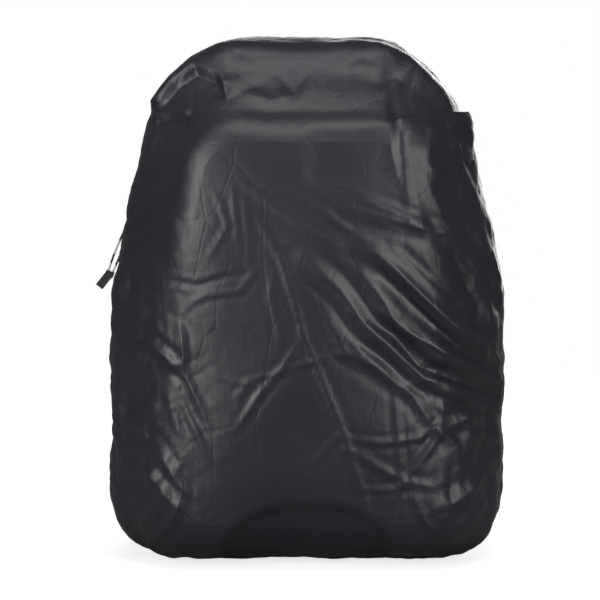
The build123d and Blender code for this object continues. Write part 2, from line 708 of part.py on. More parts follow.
def cover_sections(inset):
    """The cover's outlines from hem to face, inset from its outer surface."""
    body, pocket = BODY_STATIONS, POCKET_STATIONS
    outer = [
        (HEM, outline_at(body, HEM).draped(HEM_SLACK)),
        (FULL_DEPTH, outline_at(body, FULL_DEPTH).draped(FULL_SLACK)),
        (MAIN_ZIP_FRONT + 3, MIDDLE_OUTLINE.draped(FULL_SLACK)),
        (POCKET_ROOT - 14, outline_at(pocket, POCKET_ROOT - 14).draped(FULL_SLACK + 3)),
        (POCKET_FACE + 4, outline_at(pocket, POCKET_FACE + 4).grown(FULL_SLACK - 4)),
        (POCKET_FACE - 8, outline_at(pocket, POCKET_FACE)),
    ]
    pressed = [(y, replace(outline, low=outline.low - PRESSED)) for y, outline in outer]
    return [(y, outline.grown(-inset)) for y, outline in pressed]


def make_cover():
    outer = cover_sections(0.0)
    inner = cover_sections(COVER_CLOTH)
    inner[-1] = (inner[-1][0] + COVER_CLOTH, inner[-1][1])
    shell = lofted(outer) - lofted(inner) - below(0.0)
    hem_outline = outline_at(BODY_STATIONS, HEM).draped(HEM_SLACK).grown(-COVER_CLOTH - NEAR)
    elastic = prism(hem_outline, HEM, HEM - HEM_WIDTH)
    elastic -= prism(hem_outline.grown(-ELASTIC), HEM, HEM - HEM_WIDTH)
    return {"rain_cover": shell, "hem_elastic": elastic}


# ---------------------------------------------------------------------------------------------

def main():
    os.makedirs("parts", exist_ok=True)
    pieces = {
        **make_walls(),
        **make_lid(),
        **make_pocket(),
        "lining": make_lining(),
        "lid_piping": piping(LID_OUTLINE, LID_FACE),
        "pocket_piping": piping(POCKET_FACE_OUTLINE, POCKET_FACE + POCKET_WALL),
        **make_zip_parts(),
        **make_sliders(),
        **make_base(),
        **make_strap("lower", LOWER_STRAP),
        **make_strap("upper", UPPER_STRAP),
        **make_handle(),
        **make_cover(),
    }
    for name, piece in pieces.items():
        export_step(piece, f"parts/{name}.step")
        print(name, len(piece.solids()), round(sum(s.volume for s in piece.solids())))


if __name__ == "__main__":
    main()
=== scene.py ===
"""A soft tail bag that stands on its lower end, with a loose rain cover of coated nylon pulled over it.

Metres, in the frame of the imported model: +Z is up, -Y is the covered front, and +Y is the base of the bag.
"""

import math
import random

import bmesh
import bpy
import numpy as np
from mathutils import Matrix, Vector, noise


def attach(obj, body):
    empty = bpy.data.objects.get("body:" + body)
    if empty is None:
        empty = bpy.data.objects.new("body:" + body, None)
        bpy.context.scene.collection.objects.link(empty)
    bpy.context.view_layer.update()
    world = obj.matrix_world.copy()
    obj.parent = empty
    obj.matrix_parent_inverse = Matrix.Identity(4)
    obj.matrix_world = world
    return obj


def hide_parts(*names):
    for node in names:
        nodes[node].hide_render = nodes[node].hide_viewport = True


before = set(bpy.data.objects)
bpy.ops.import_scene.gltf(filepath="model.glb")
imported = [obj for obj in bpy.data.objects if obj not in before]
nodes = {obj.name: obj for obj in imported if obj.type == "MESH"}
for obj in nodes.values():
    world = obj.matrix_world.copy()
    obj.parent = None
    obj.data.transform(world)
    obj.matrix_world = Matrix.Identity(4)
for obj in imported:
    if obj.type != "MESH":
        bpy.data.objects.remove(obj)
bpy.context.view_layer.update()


# --------------------------------------------------------------------------------------------
# Camera
# --------------------------------------------------------------------------------------------

CAMERA_DISTANCE = 2.1
CAMERA_RISE = math.radians(4.0)
AIM = Vector((-0.007, 0.0, 0.2465))
FRAME_WIDTH = 0.581  # how much of the plane through the bag the picture takes in
SENSOR = 0.036

camera_place = AIM + CAMERA_DISTANCE * Vector((0.0, -math.cos(CAMERA_RISE), math.sin(CAMERA_RISE)))


def make_camera():
    data = bpy.data.cameras.new("camera")
    data.sensor_width = SENSOR
    data.lens = SENSOR * CAMERA_DISTANCE / FRAME_WIDTH * 1000.0
    data.sensor_width = SENSOR * 1000.0
    data.clip_start = 0.05
    data.clip_end = 50.0
    camera = bpy.data.objects.new("camera", data)
    camera.location = camera_place
    camera.rotation_euler = (AIM - camera_place).to_track_quat("-Z", "Y").to_euler()
    bpy.context.scene.collection.objects.link(camera)
    bpy.context.scene.camera = camera


# --------------------------------------------------------------------------------------------
# Meshes
# --------------------------------------------------------------------------------------------

def make_object(name, bm, material, smooth=True):
    """A new object from a bmesh, which it frees."""
    mesh = bpy.data.meshes.new(name)
    bm.normal_update()
    bm.to_mesh(mesh)
    bm.free()
    if smooth:
        mesh.shade_smooth()
    piece = bpy.data.objects.new(name, mesh)
    bpy.context.scene.collection.objects.link(piece)
    piece.data.materials.append(material)
    return piece


def smoothstep(low, high, value):
    share = np.clip((value - low) / (high - low), 0.0, 1.0)
    return share * share * (3.0 - 2.0 * share)


def swept(bm, sections, closed):
    """Joins cross sections, which are closed loops, along a path. An open one gets flat ends."""
    sections = np.asarray(sections)
    loops = [[bm.verts.new(point) for point in section] for section in sections]
    pairs = list(zip(loops, loops[1:]))
    if closed:
        pairs.append((loops[-1], loops[0]))
    for first, second in pairs:
        for i in range(len(first)):
            j = (i + 1) % len(first)
            bm.faces.new((first[i], first[j], second[j], second[i]))
    if not closed:
        bm.faces.new(loops[0][::-1])
        bm.faces.new(loops[-1])


def resampled(points, count, closed):
    """Points at even distances along a line."""
    line = np.vstack([points, points[:1]]) if closed else np.asarray(points)
    places = np.concatenate([[0.0], np.cumsum(np.linalg.norm(np.diff(line, axis=0), axis=1))])
    wanted = np.linspace(0.0, places[-1], count, endpoint=not closed)
    return np.stack([np.interp(wanted, places, line[:, axis]) for axis in range(3)], axis=1)


def frames(points, side, closed):
    """At each point of a line, the unit directions across it: one near side, and one square to both."""
    ahead = np.roll(points, -1, axis=0) - np.roll(points, 1, axis=0)
    if not closed:
        ahead[0] = points[1] - points[0]
        ahead[-1] = points[-1] - points[-2]
    ahead /= np.linalg.norm(ahead, axis=1)[:, None]
    out = np.cross(ahead, side)
    out /= np.linalg.norm(out, axis=1)[:, None]
    return np.cross(out, ahead), out


def tube(bm, points, side, closed, outline):
    """Sweeps an outline along a line. outline is a list of (along side, along the other direction)."""
    across, out = frames(np.asarray(points), np.array(side, float), closed)
    outline = np.asarray(outline)
    if outline.ndim == 2:
        outline = np.broadcast_to(outline, (len(points), *outline.shape))
    sections = (
        np.asarray(points)[:, None] + outline[..., :1] * across[:, None] + outline[..., 1:] * out[:, None]
    )
    swept(bm, sections, closed)


def circle(radius_a, radius_b, count=12):
    turns = np.linspace(0.0, math.tau, count, endpoint=False)
    return [(radius_a * math.cos(turn), radius_b * math.sin(turn)) for turn in turns]


def finish_piece(name, bm, material, body, slot, *replaced):
    bmesh.ops.recalc_face_normals(bm, faces=bm.faces)
    piece = make_object(name, bm, material)
    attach(piece, body)
    if replaced:
        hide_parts(*replaced)
    return piece


# --------------------------------------------------------------------------------------------
# Shader nodes
# --------------------------------------------------------------------------------------------

class Socket:
    """A shader socket with arithmetic."""

    def __init__(self, shader, socket):
        self.shader = shader
        self.socket = socket

    def math(self, operation, *others):
        return self.shader.node("ShaderNodeMath", {"operation": operation}, [self, *others])

    def __add__(self, other):
        return self.math("ADD", other)

    def __sub__(self, other):
        return self.math("SUBTRACT", other)

    def __mul__(self, other):
        return self.math("MULTIPLY", other)

    def __truediv__(self, other):
        return self.math("DIVIDE", other)

    def __rsub__(self, other):
        return self.shader.node("ShaderNodeMath", {"operation": "SUBTRACT"}, [other, self])

    __radd__ = __add__
    __rmul__ = __mul__

    def ramp(self, low, high, start=0.0, end=1.0):
        """The value taken from one range to another, smoothly and without going outside it."""
        settings = {"interpolation_type": "SMOOTHSTEP"}
        return self.shader.node("ShaderNodeMapRange", settings, [self, low, high, start, end])


class Shader:
    """A material, made of nodes."""

    def __init__(self, name):
        self.material = bpy.data.materials.new(name)
        self.material.use_nodes = True
        self.tree = self.material.node_tree
        self.surface = self.tree.nodes["Principled BSDF"]
        self.place = self.node("ShaderNodeTexCoord", output="Object")

    def node(self, kind, settings=None, inputs=(), output=0):
        """Makes a node and returns one of its outputs. inputs is a list, or a dict by name."""
        made = self.tree.nodes.new(kind)
        for name, value in (settings or {}).items():
            setattr(made, name, value)
        named = inputs.items() if isinstance(inputs, dict) else enumerate(inputs)
        for key, value in named:
            if isinstance(value, Socket):
                self.tree.links.new(value.socket, made.inputs[key])
            elif value is not None:
                made.inputs[key].default_value = value
        return Socket(self, made.outputs[output])

    def stretched(self, scale):
        """The place on the object, with each axis multiplied."""
        return self.node("ShaderNodeVectorMath", {"operation": "MULTIPLY"}, [self.place, scale])

    def noise(self, scale, detail=3.0, roughness=0.55, vector=None):
        inputs = {"Vector": vector or self.place, "Scale": scale, "Detail": detail, "Roughness": roughness}
        return self.node("ShaderNodeTexNoise", None, inputs)

    def cells(self, scale, feature="F1", vector=None):
        inputs = {"Vector": vector or self.place, "Scale": scale}
        return self.node("ShaderNodeTexVoronoi", {"feature": feature}, inputs, "Distance")

    def wave(self, pitch, direction, distortion=0.0):
        """Bands across one axis, one each pitch."""
        settings = {"wave_type": "BANDS", "bands_direction": direction}
        inputs = {"Vector": self.place, "Scale": math.tau / pitch / 20.0, "Distortion": distortion}
        return self.node("ShaderNodeTexWave", settings, inputs, "Fac")

    def mix(self, share, first, second):
        settings = {"data_type": "RGBA"}
        made = self.tree.nodes.new("ShaderNodeMix")
        made.data_type = "RGBA"
        for key, value in ((0, share), (6, first), (7, second)):
            if isinstance(value, Socket):
                self.tree.links.new(value.socket, made.inputs[key])
            else:
                made.inputs[key].default_value = value
        return Socket(self, made.outputs[2])

    def bump(self, height, distance, strength=1.0, normal=None):
        inputs = {"Height": height, "Distance": distance, "Strength": strength, "Normal": normal}
        return self.node("ShaderNodeBump", None, inputs)

    def finish(self, **values):
        """Links or sets inputs of the surface, named with _ for a space."""
        for name, value in values.items():
            target = self.surface.inputs[name.replace("_", " ")]
            if isinstance(value, Socket):
                self.tree.links.new(value.socket, target)
            else:
                target.default_value = value
        return self.material


def grey(red, green=None, blue=None):
    return (red, red if green is None else green, red if blue is None else blue, 1.0)


def coated_nylon():
    """The cover's thin cloth: a fine plain weave under a slightly glossy coating."""
    shader = Shader("coated_nylon")
    warp = shader.wave(0.0011, "X", 0.4)
    weft = shader.wave(0.0011, "Z", 0.4)
    depth = shader.wave(0.0011, "Y", 0.4)
    weave = warp * weft * 0.6 + depth * 0.2
    crumple = shader.noise(60.0, 4.0, 0.6)
    creases = shader.cells(26.0, "DISTANCE_TO_EDGE", shader.stretched((1.0, 1.0, 0.6))).ramp(0.0, 0.05)
    drift = shader.noise(7.0, 3.0, 0.5)
    body = shader.mix(drift.ramp(0.35, 0.7), grey(0.0105, 0.0112, 0.0150), grey(0.0135, 0.0144, 0.0192))
    colour = shader.mix(weave * 0.25, body, grey(0.027, 0.029, 0.039))
    normal = shader.bump(crumple, 0.0010, 0.35)
    normal = shader.bump(creases, 0.0006, 0.18, normal)
    normal = shader.bump(weave, 0.00022, 0.5, normal)
    roughness = drift.ramp(0.3, 0.75, 0.38, 0.45) + weave * 0.03
    return shader.finish(Base_Color=colour, Roughness=roughness, Normal=normal, Coat_Weight=0.06, Coat_Roughness=0.35)


# --------------------------------------------------------------------------------------------
# Rain cover
# --------------------------------------------------------------------------------------------

# Points round the cover, from the middle of its bottom to the middle of its top, in this many steps
BOTTOM_STEPS, LOW_CORNER_STEPS, SIDE_STEPS, LEAN_STEPS, TOP_CORNER_STEPS, TOP_STEPS = 34, 44, 78, 68, 52, 24


class Outline:
    """The bag's outline at some depth: sides that lean in above a knee, and rounded corners."""

    def __init__(self, half, half_top, low, knee, high, r_low, r_knee, r_high):
        self.values = np.array([half, half_top, low, knee, high, r_low, r_knee, r_high])

    def grown(self, by):
        return Outline(*(self.values + by * np.array([1, 1, -1, 0, 1, 1, 0, 1])))

    def mixed(self, other, share):
        return Outline(*(self.values * (1 - share) + other.values * share))

    def points(self, y):
        """Points from the middle of the bottom, up the right side and down the left."""
        half, half_top, low, knee, high, r_low, r_knee, r_high = self.values
        lean = math.atan2(half - half_top, high - knee)
        knee_run = r_knee * math.tan(lean / 2)
        top_run = r_high * math.tan((math.pi / 2 - lean) / 2)
        along = Vector((-math.sin(lean), math.cos(lean)))
        low_arc = [
            (half - r_low + r_low * math.sin(turn), low + r_low - r_low * math.cos(turn))
            for turn in np.linspace(0.0, math.pi / 2, LOW_CORNER_STEPS + 1)
        ]
        knee_end = Vector((half, knee)) + along * knee_run
        lean_end = Vector((half_top, high)) - along * top_run
        middle = Vector((half_top - top_run, high - r_high))
        top_arc = [
            (middle.x + r_high * math.cos(turn), middle.y + r_high * math.sin(turn))
            for turn in np.linspace(lean, math.pi / 2, TOP_CORNER_STEPS + 1)
        ]
        right = []
        right += stretch((0.0, low), low_arc[0], BOTTOM_STEPS)
        right += low_arc[:-1]
        right += stretch(low_arc[-1], (half, knee - knee_run), SIDE_STEPS)
        right += bend((half, knee - knee_run), (half, knee), knee_end, lean_end, LEAN_STEPS)
        right += top_arc[:-1]
        right += stretch(top_arc[-1], (0.0, high), TOP_STEPS)
        right.append((0.0, high))
        left = [(-x, z) for x, z in reversed(right[1:-1])]
        return np.array([(x, y, z) for x, z in right + left])


def stretch(start, end, steps):
    """Evenly spaced points of a straight line, without its end."""
    return [tuple(Vector(start).lerp(Vector(end), step / steps)) for step in range(steps)]


def bend(start, corner, turned, end, steps):
    """Points of a rounded knee and the straight stretch after it, without the end."""
    knee_share = max(1, round(steps * 0.22))
    points = []
    for step in range(knee_share):
        share = step / knee_share
        first = Vector(start).lerp(Vector(corner), share)
        second = Vector(corner).lerp(Vector(turned), share)
        points.append(tuple(first.lerp(second, share)))
    return points + stretch(turned, end, steps - knee_share)


# The cover's outlines from the rim of its front face back to its hem
RINGS = [
    (-0.1085, Outline(0.1190, 0.090, 0.046, 0.236, 0.3990, 0.032, 0.15, 0.040)),
    (-0.1068, Outline(0.1275, 0.097, 0.038, 0.236, 0.4080, 0.038, 0.15, 0.047)),
    (-0.1030, Outline(0.1360, 0.104, 0.030, 0.238, 0.4165, 0.044, 0.15, 0.054)),
    (-0.0950, Outline(0.1450, 0.110, 0.021, 0.241, 0.4265, 0.050, 0.16, 0.062)),
    (-0.0810, Outline(0.1565, 0.118, 0.012, 0.246, 0.4420, 0.055, 0.17, 0.076)),
    (-0.0620, Outline(0.1700, 0.125, 0.006, 0.256, 0.4610, 0.058, 0.18, 0.090)),
    (-0.0420, Outline(0.1835, 0.131, 0.002, 0.262, 0.4855, 0.060, 0.19, 0.104)),
    (-0.0100, Outline(0.1895, 0.134, 0.000, 0.264, 0.4960, 0.062, 0.20, 0.116)),
    (0.0200, Outline(0.1900, 0.1345, 0.000, 0.266, 0.5000, 0.062, 0.20, 0.118)),
    (0.0480, Outline(0.1875, 0.133, 0.000, 0.270, 0.4980, 0.062, 0.20, 0.114)),
    (0.0620, Outline(0.1840, 0.132, 0.000, 0.275, 0.4925, 0.061, 0.20, 0.108)),
    (0.0640, Outline(0.1822, 0.130, 0.002, 0.275, 0.4905, 0.060, 0.20, 0.106)),
    (0.0590, Outline(0.1812, 0.129, 0.003, 0.275, 0.4895, 0.059, 0.20, 0.105)),
]
RING_STEPS = 84  # quads from the rim to the hem


def spread(stations, steps):
    """Points at even distances along a smooth line through the stations, which are arrays of one shape."""
    stations = np.array(stations)
    gaps = np.linalg.norm(np.diff(stations, axis=0), axis=2).mean(axis=1)
    places = np.concatenate([[0.0], np.cumsum(gaps)])
    slopes = np.gradient(stations, places, axis=0)
    wanted = np.linspace(0.0, places[-1], steps + 1)
    spans = np.clip(np.searchsorted(places, wanted, side="right") - 1, 0, len(places) - 2)
    rows = []
    for place, span in zip(wanted, spans):
        length = places[span + 1] - places[span]
        t = (place - places[span]) / length
        start, end = stations[span], stations[span + 1]
        pull = slopes[span] * length, slopes[span + 1] * length
        rows.append(
            start * (2 * t**3 - 3 * t**2 + 1) + end * (3 * t**2 - 2 * t**3)
            + pull[0] * (t**3 - 2 * t**2 + t) + pull[1] * (t**3 - t**2)
        )
    return rows


def skin(rows, corner, across):
    """A grid inside the first row, and quads from row to row. The grid's first corner is corner points back."""
    rim = rows[0]
    count = len(rim)
    tall = count // 2 - across
    bottom = np.array([rim[i % count] for i in range(-corner, across - corner + 1)])
    right = np.array([rim[across - corner + i] for i in range(tall + 1)])
    top = np.array([rim[(2 * across - corner + tall - i) % count] for i in range(across + 1)])
    left = np.array([rim[(-corner - i) % count] for i in range(tall + 1)])
    u = np.linspace(0.0, 1.0, across + 1)[None, :, None]
    v = np.linspace(0.0, 1.0, tall + 1)[:, None, None]
    grid = (1 - v) * bottom[None] + v * top[None] + (1 - u) * left[:, None] + u * right[:, None]
    grid -= (1 - v) * ((1 - u) * bottom[0] + u * bottom[-1]) + v * ((1 - u) * top[0] + u * top[-1])
    points = list(grid.reshape(-1, 3))
    number = {}  # the grid's own vertex for each vertex of the rim
    for i in range(across + 1):
        number[(i - corner) % count] = i
        number[(2 * across - corner + tall - i) % count] = tall * (across + 1) + i
    for i in range(tall + 1):
        number[across - corner + i] = i * (across + 1) + across
        number[(-corner - i) % count] = i * (across + 1)
    faces = []
    for j in range(tall):
        for i in range(across):
            a = j * (across + 1) + i
            faces.append((a, a + 1, a + across + 2, a + across + 1))
    before = [number[i] for i in range(count)]
    for row in rows[1:]:
        after = list(range(len(points), len(points) + count))
        points += list(row)
        for i in range(count):
            j = (i + 1) % count
            faces.append((before[j], before[i], after[i], after[j]))
        before = after
    return np.array(points), faces


def from_faces(points, faces):
    bm = bmesh.new()
    verts = [bm.verts.new(point) for point in points]
    for face in faces:
        bm.faces.new([verts[i] for i in face])
    return bm


def seen(points):
    """Where points lie in the picture: x and z of the plane through the bag that the camera looks at."""
    forward = np.array(AIM - camera_place) / CAMERA_DISTANCE
    up = np.array((0.0, math.sin(CAMERA_RISE), math.cos(CAMERA_RISE)))
    away = points - np.array(camera_place)
    shrink = CAMERA_DISTANCE / (away @ forward)
    return np.stack([away[:, 0] * shrink + AIM.x, (away @ up) * shrink + AIM.z], axis=1)


def distances(places, line):
    """For each place, the distance to a line of points, which side it is on, and how far along, from 0 to 1."""
    line = np.array(line)
    lengths = np.linalg.norm(np.diff(line, axis=0), axis=1)
    starts = np.concatenate([[0.0], np.cumsum(lengths)])
    nearest = np.full(len(places), np.inf)
    side = np.zeros(len(places))
    share = np.zeros(len(places))
    for start, end, length, before in zip(line, line[1:], lengths, starts):
        along = (end - start) / length
        t = np.clip((places - start) @ along, 0.0, length)
        off = places - start - t[:, None] * along
        distance = np.linalg.norm(off, axis=1)
        closer = distance < nearest
        nearest = np.where(closer, distance, nearest)
        side = np.where(closer, along[0] * off[:, 1] - along[1] * off[:, 0], side)
        share = np.where(closer, (before + t) / starts[-1], share)
    return nearest, np.sign(side), share


# Folds and creases of the front, as the camera sees them. Each is its height and its half width in
# millimetres, then its course in metres: x from the middle, z from the floor. A negative height is a valley.
FOLDS = [
    # deep folds that run down to the right edge
    (6.5, 10, [(0.053, 0.302), (0.084, 0.277), (0.129, 0.234), (0.167, 0.199), (0.186, 0.168)]),
    (-5.0, 8, [(0.066, 0.280), (0.100, 0.245), (0.140, 0.208), (0.172, 0.180)]),
    (4.0, 7, [(0.038, 0.337), (0.086, 0.323), (0.132, 0.311), (0.156, 0.288), (0.171, 0.253), (0.183, 0.211)]),
    (3.0, 6, [(0.048, 0.346), (0.080, 0.334), (0.110, 0.322)]),
    (5.5, 9, [(0.052, 0.273), (0.075, 0.242), (0.087, 0.222), (0.121, 0.203), (0.160, 0.180), (0.186, 0.160)]),
    (-7.0, 8, [(0.055, 0.230), (0.083, 0.214), (0.107, 0.183), (0.145, 0.167), (0.184, 0.154)]),
    (6.0, 8, [(-0.003, 0.289), (0.030, 0.258), (0.055, 0.224), (0.082, 0.202), (0.113, 0.172), (0.150, 0.161), (0.186, 0.150)]),
    (3.5, 7, [(0.018, 0.232), (0.036, 0.199), (0.063, 0.184), (0.090, 0.164), (0.113, 0.149)]),
    (2.5, 5, [(0.032, 0.220), (0.053, 0.196), (0.084, 0.171)]),
    (4.0, 8, [(0.128, 0.308), (0.158, 0.270), (0.175, 0.232), (0.184, 0.192)]),
    (-3.0, 7, [(0.112, 0.330), (0.140, 0.292), (0.160, 0.255), (0.176, 0.215)]),
    (2.0, 5, [(0.100, 0.250), (0.130, 0.222), (0.160, 0.198)]),
    (2.2, 5, [(0.080, 0.300), (0.118, 0.262), (0.150, 0.232)]),
    # long thin creases across the middle
    (1.4, 4, [(-0.066, 0.362), (-0.030, 0.336), (0.006, 0.312), (0.030, 0.300)]),
    (1.5, 4, [(-0.049, 0.327), (-0.026, 0.288), (-0.011, 0.242), (-0.003, 0.211), (0.012, 0.176), (0.032, 0.126)]),
    (2.0, 5, [(0.012, 0.176), (0.032, 0.126), (0.047, 0.079), (0.067, 0.010)]),
    (1.2, 4, [(-0.020, 0.357), (0.012, 0.335), (0.046, 0.310), (0.070, 0.300)]),
    (0.9, 4, [(-0.072, 0.358), (-0.069, 0.323), (-0.063, 0.288)]),
    (0.9, 4, [(-0.061, 0.346), (-0.057, 0.308), (-0.055, 0.273)]),
    (-1.6, 4, [(-0.146, 0.264), (-0.130, 0.265), (-0.107, 0.261), (-0.080, 0.269), (-0.057, 0.273)]),
    (1.4, 4, [(-0.049, 0.277), (-0.065, 0.257), (-0.096, 0.253), (-0.111, 0.246), (-0.121, 0.234)]),
    (2.4, 5, [(-0.125, 0.234), (-0.121, 0.207), (-0.119, 0.176), (-0.107, 0.153), (-0.096, 0.126)]),
    (1.4, 4, [(-0.069, 0.122), (-0.049, 0.153), (-0.026, 0.180), (-0.009, 0.203), (-0.006, 0.222)]),
    (1.2, 4, [(-0.061, 0.130), (-0.042, 0.164), (-0.058, 0.168), (-0.069, 0.153)]),
    (0.9, 4, [(-0.092, 0.176), (-0.069, 0.168), (-0.042, 0.174), (-0.011, 0.184), (0.024, 0.195), (0.051, 0.197)]),
    (1.2, 4, [(0.005, 0.089), (0.024, 0.112), (0.036, 0.122)]),
    (1.0, 4, [(-0.033, 0.276), (-0.036, 0.250), (-0.028, 0.226), (-0.026, 0.205)]),
    (0.8, 4, [(-0.090, 0.352), (-0.076, 0.320), (-0.094, 0.290)]),
    (0.9, 4, [(0.000, 0.270), (0.030, 0.246), (0.046, 0.226)]),
    # pack creases and a star of short ones at the lower right
    (2.2, 4, [(0.084, 0.168), (0.086, 0.130), (0.090, 0.091), (0.092, 0.052), (0.086, 0.021)]),
    (1.8, 4, [(0.040, 0.114), (0.074, 0.110), (0.109, 0.114), (0.136, 0.130)]),
    (2.0, 5, [(0.040, 0.106), (0.067, 0.087), (0.094, 0.072), (0.121, 0.066), (0.140, 0.075)]),
    (2.6, 5, [(0.094, 0.070), (0.113, 0.095), (0.129, 0.118), (0.132, 0.149)]),
    (2.8, 6, [(0.094, 0.164), (0.113, 0.137), (0.127, 0.120), (0.160, 0.095), (0.183, 0.075)]),
    (2.6, 6, [(0.129, 0.118), (0.156, 0.133), (0.183, 0.145)]),
    (-2.6, 5, [(0.140, 0.091), (0.140, 0.048), (0.121, 0.033), (0.113, 0.037)]),
    (3.2, 7, [(0.121, 0.033), (0.140, 0.048), (0.167, 0.072), (0.183, 0.099)]),
    (1.4, 4, [(0.098, 0.068), (0.074, 0.064), (0.051, 0.066)]),
    (1.8, 5, [(0.098, 0.068), (0.109, 0.041), (0.125, 0.017)]),
    (2.6, 6, [(0.150, 0.108), (0.168, 0.116), (0.187, 0.112)]),
    (-2.8, 6, [(0.128, 0.152), (0.155, 0.142), (0.186, 0.134)]),
    (2.2, 6, [(0.136, 0.020), (0.158, 0.034), (0.176, 0.056)]),
    # lower left
    (3.0, 7, [(-0.162, 0.087), (-0.142, 0.064), (-0.123, 0.041)]),
    (2.8, 6, [(-0.148, 0.106), (-0.131, 0.079), (-0.115, 0.056)]),
    (2.4, 6, [(-0.168, 0.130), (-0.156, 0.112), (-0.144, 0.108)]),
    (2.4, 6, [(-0.185, 0.118), (-0.169, 0.133), (-0.158, 0.141)]),
    (2.6, 6, [(-0.119, 0.075), (-0.123, 0.052), (-0.134, 0.029), (-0.150, 0.014)]),
    (-2.4, 6, [(-0.128, 0.098), (-0.146, 0.070), (-0.158, 0.044)]),
    (1.6, 5, [(-0.136, 0.156), (-0.128, 0.128), (-0.122, 0.112)]),
    (1.4, 4, [(-0.120, 0.145), (-0.106, 0.118), (-0.094, 0.090)]),
    (2.6, 6, [(-0.152, 0.203), (-0.127, 0.184), (-0.152, 0.182)]),
    # left flank
    (2.6, 7, [(-0.181, 0.296), (-0.158, 0.308), (-0.134, 0.323), (-0.115, 0.329)]),
    (2.4, 6, [(-0.169, 0.288), (-0.146, 0.304), (-0.127, 0.315)]),
    (-2.2, 6, [(-0.182, 0.310), (-0.160, 0.320), (-0.140, 0.334)]),
    (2.0, 6, [(-0.163, 0.338), (-0.145, 0.347), (-0.134, 0.350)]),
    (2.2, 7, [(-0.165, 0.369), (-0.148, 0.374), (-0.134, 0.373)]),
    (2.6, 6, [(-0.177, 0.226), (-0.158, 0.207), (-0.142, 0.195), (-0.127, 0.180)]),
    (2.6, 7, [(-0.187, 0.207), (-0.172, 0.216), (-0.160, 0.232)]),
    (-2.4, 6, [(-0.176, 0.258), (-0.160, 0.262), (-0.146, 0.262)]),
    (2.2, 6, [(-0.160, 0.385), (-0.148, 0.402), (-0.130, 0.418)]),
    (2.0, 6, [(-0.184, 0.180), (-0.168, 0.168), (-0.158, 0.150)]),
    # right flank, below the tucked flap
    (3.0, 6, [(0.090, 0.408), (0.113, 0.412), (0.121, 0.393)]),
    (-3.2, 6, [(0.125, 0.420), (0.132, 0.408), (0.148, 0.404), (0.156, 0.393)]),
    (3.0, 7, [(0.113, 0.404), (0.115, 0.377), (0.140, 0.346)]),
    (3.4, 7, [(0.113, 0.366), (0.136, 0.315), (0.167, 0.284)]),
    (2.6, 6, [(0.140, 0.400), (0.150, 0.372), (0.164, 0.345)]),
    (-2.8, 6, [(0.128, 0.382), (0.144, 0.352), (0.160, 0.318)]),
    (2.4, 6, [(0.150, 0.338), (0.166, 0.310), (0.176, 0.280)]),
    # hood
    (-1.6, 6, [(-0.030, 0.468), (-0.013, 0.447), (-0.001, 0.466)]),
    (1.6, 6, [(-0.071, 0.487), (-0.061, 0.478)]),
    (1.8, 7, [(-0.065, 0.447), (-0.034, 0.439), (-0.010, 0.446)]),
    (2.0, 7, [(0.082, 0.451), (0.105, 0.474), (0.113, 0.462)]),
    (1.4, 6, [(0.030, 0.470), (0.052, 0.480), (0.070, 0.472)]),
    (-1.4, 6, [(0.060, 0.455), (0.084, 0.462), (0.100, 0.455)]),
]


FOLD_SHARE = 0.8  # of the heights above


def fold_lines(places):
    """How far each point stands out because of the front's folds."""
    rise = np.zeros(len(places))
    for height, width, course in FOLDS:
        distance, side, share = distances(places, course)
        taper = np.clip(np.sin(np.pi * np.clip(share, 0.02, 0.98)), 0.0, 1.0) ** 0.5
        reach = distance / (width / 1000.0)
        crest = np.exp(-1.6 * reach) * (1.0 + 0.25 * side * np.clip(reach, 0.0, 1.0))
        trough = 0.35 * np.exp(-((reach - 1.6) ** 2) / 0.5)
        rise += FOLD_SHARE * height / 1000.0 * taper * (crest - trough)
    return rise


def facets(points, scale, seed):
    """Flat patches that meet at sharp creases, from 0 on a crease to about 1 inside a patch."""
    shift = Vector((seed * 3.7, seed * 1.3, seed * 2.1))
    out = np.empty(len(points))
    for i, point in enumerate(points):
        near, _ = noise.voronoi(Vector(point) * scale + shift)
        out[i] = min(1.0, (near[1] - near[0]) * 1.8)
    return out


def swell(points, scale, seed):
    """Smooth noise, from about -1 to 1."""
    shift = Vector((seed * 5.1, seed * 2.3, seed * 4.7))
    return np.array([noise.noise(Vector(point) * scale + shift) for point in points]) * 1.8


def blob(places, x, z, wide, tall):
    """1 in the middle of a soft round patch of the picture, and 0 outside it."""
    reach = ((places[:, 0] - x) / wide) ** 2 + ((places[:, 1] - z) / tall) ** 2
    return np.exp(-reach)


# Overhangs at the shoulders: the line of the lip from left to right, how far the cloth above it and the
# cloth below it stand out in millimetres, and how far up and down that reaches
LIPS = [
    ([(-0.152, 0.427), (-0.140, 0.437), (-0.126, 0.455), (-0.107, 0.468), (-0.086, 0.460), (-0.077, 0.440)],
     9.0, -3.0, 20, 13),
    ([(-0.150, 0.421), (-0.132, 0.426), (-0.112, 0.425)], 4.0, -4.0, 8, 10),
    ([(0.076, 0.419), (0.110, 0.424), (0.135, 0.427), (0.175, 0.428)], -3.0, 9.0, 28, 45),
]


def lips(places):
    """How far each point stands out because of the overhangs."""
    rise = np.zeros(len(places))
    for course, above, below, up, down in LIPS:
        distance, side, share = distances(places, course)
        signed = distance * side * 1000.0
        ends = smoothstep(0.0, 0.12, share) * smoothstep(1.0, 0.88, share)
        over = smoothstep(-2.0, 2.0, signed)
        reach = over * above * np.exp(-np.abs(signed) / up) + (1.0 - over) * below * np.exp(-np.abs(signed) / down)
        rise += ends * reach / 1000.0
    return rise


def dome(points):
    """How far each point of the front is pushed forward by what the pocket holds."""
    across = np.clip(1.0 - (points[:, 0] / 0.136) ** 2, 0.0, 1.0)
    tall = np.clip(1.0 - np.abs((points[:, 2] - 0.228) / 0.200) ** 3.5, 0.0, 1.0)
    return 0.023 * across * tall * smoothstep(-0.070, -0.108, points[:, 1])


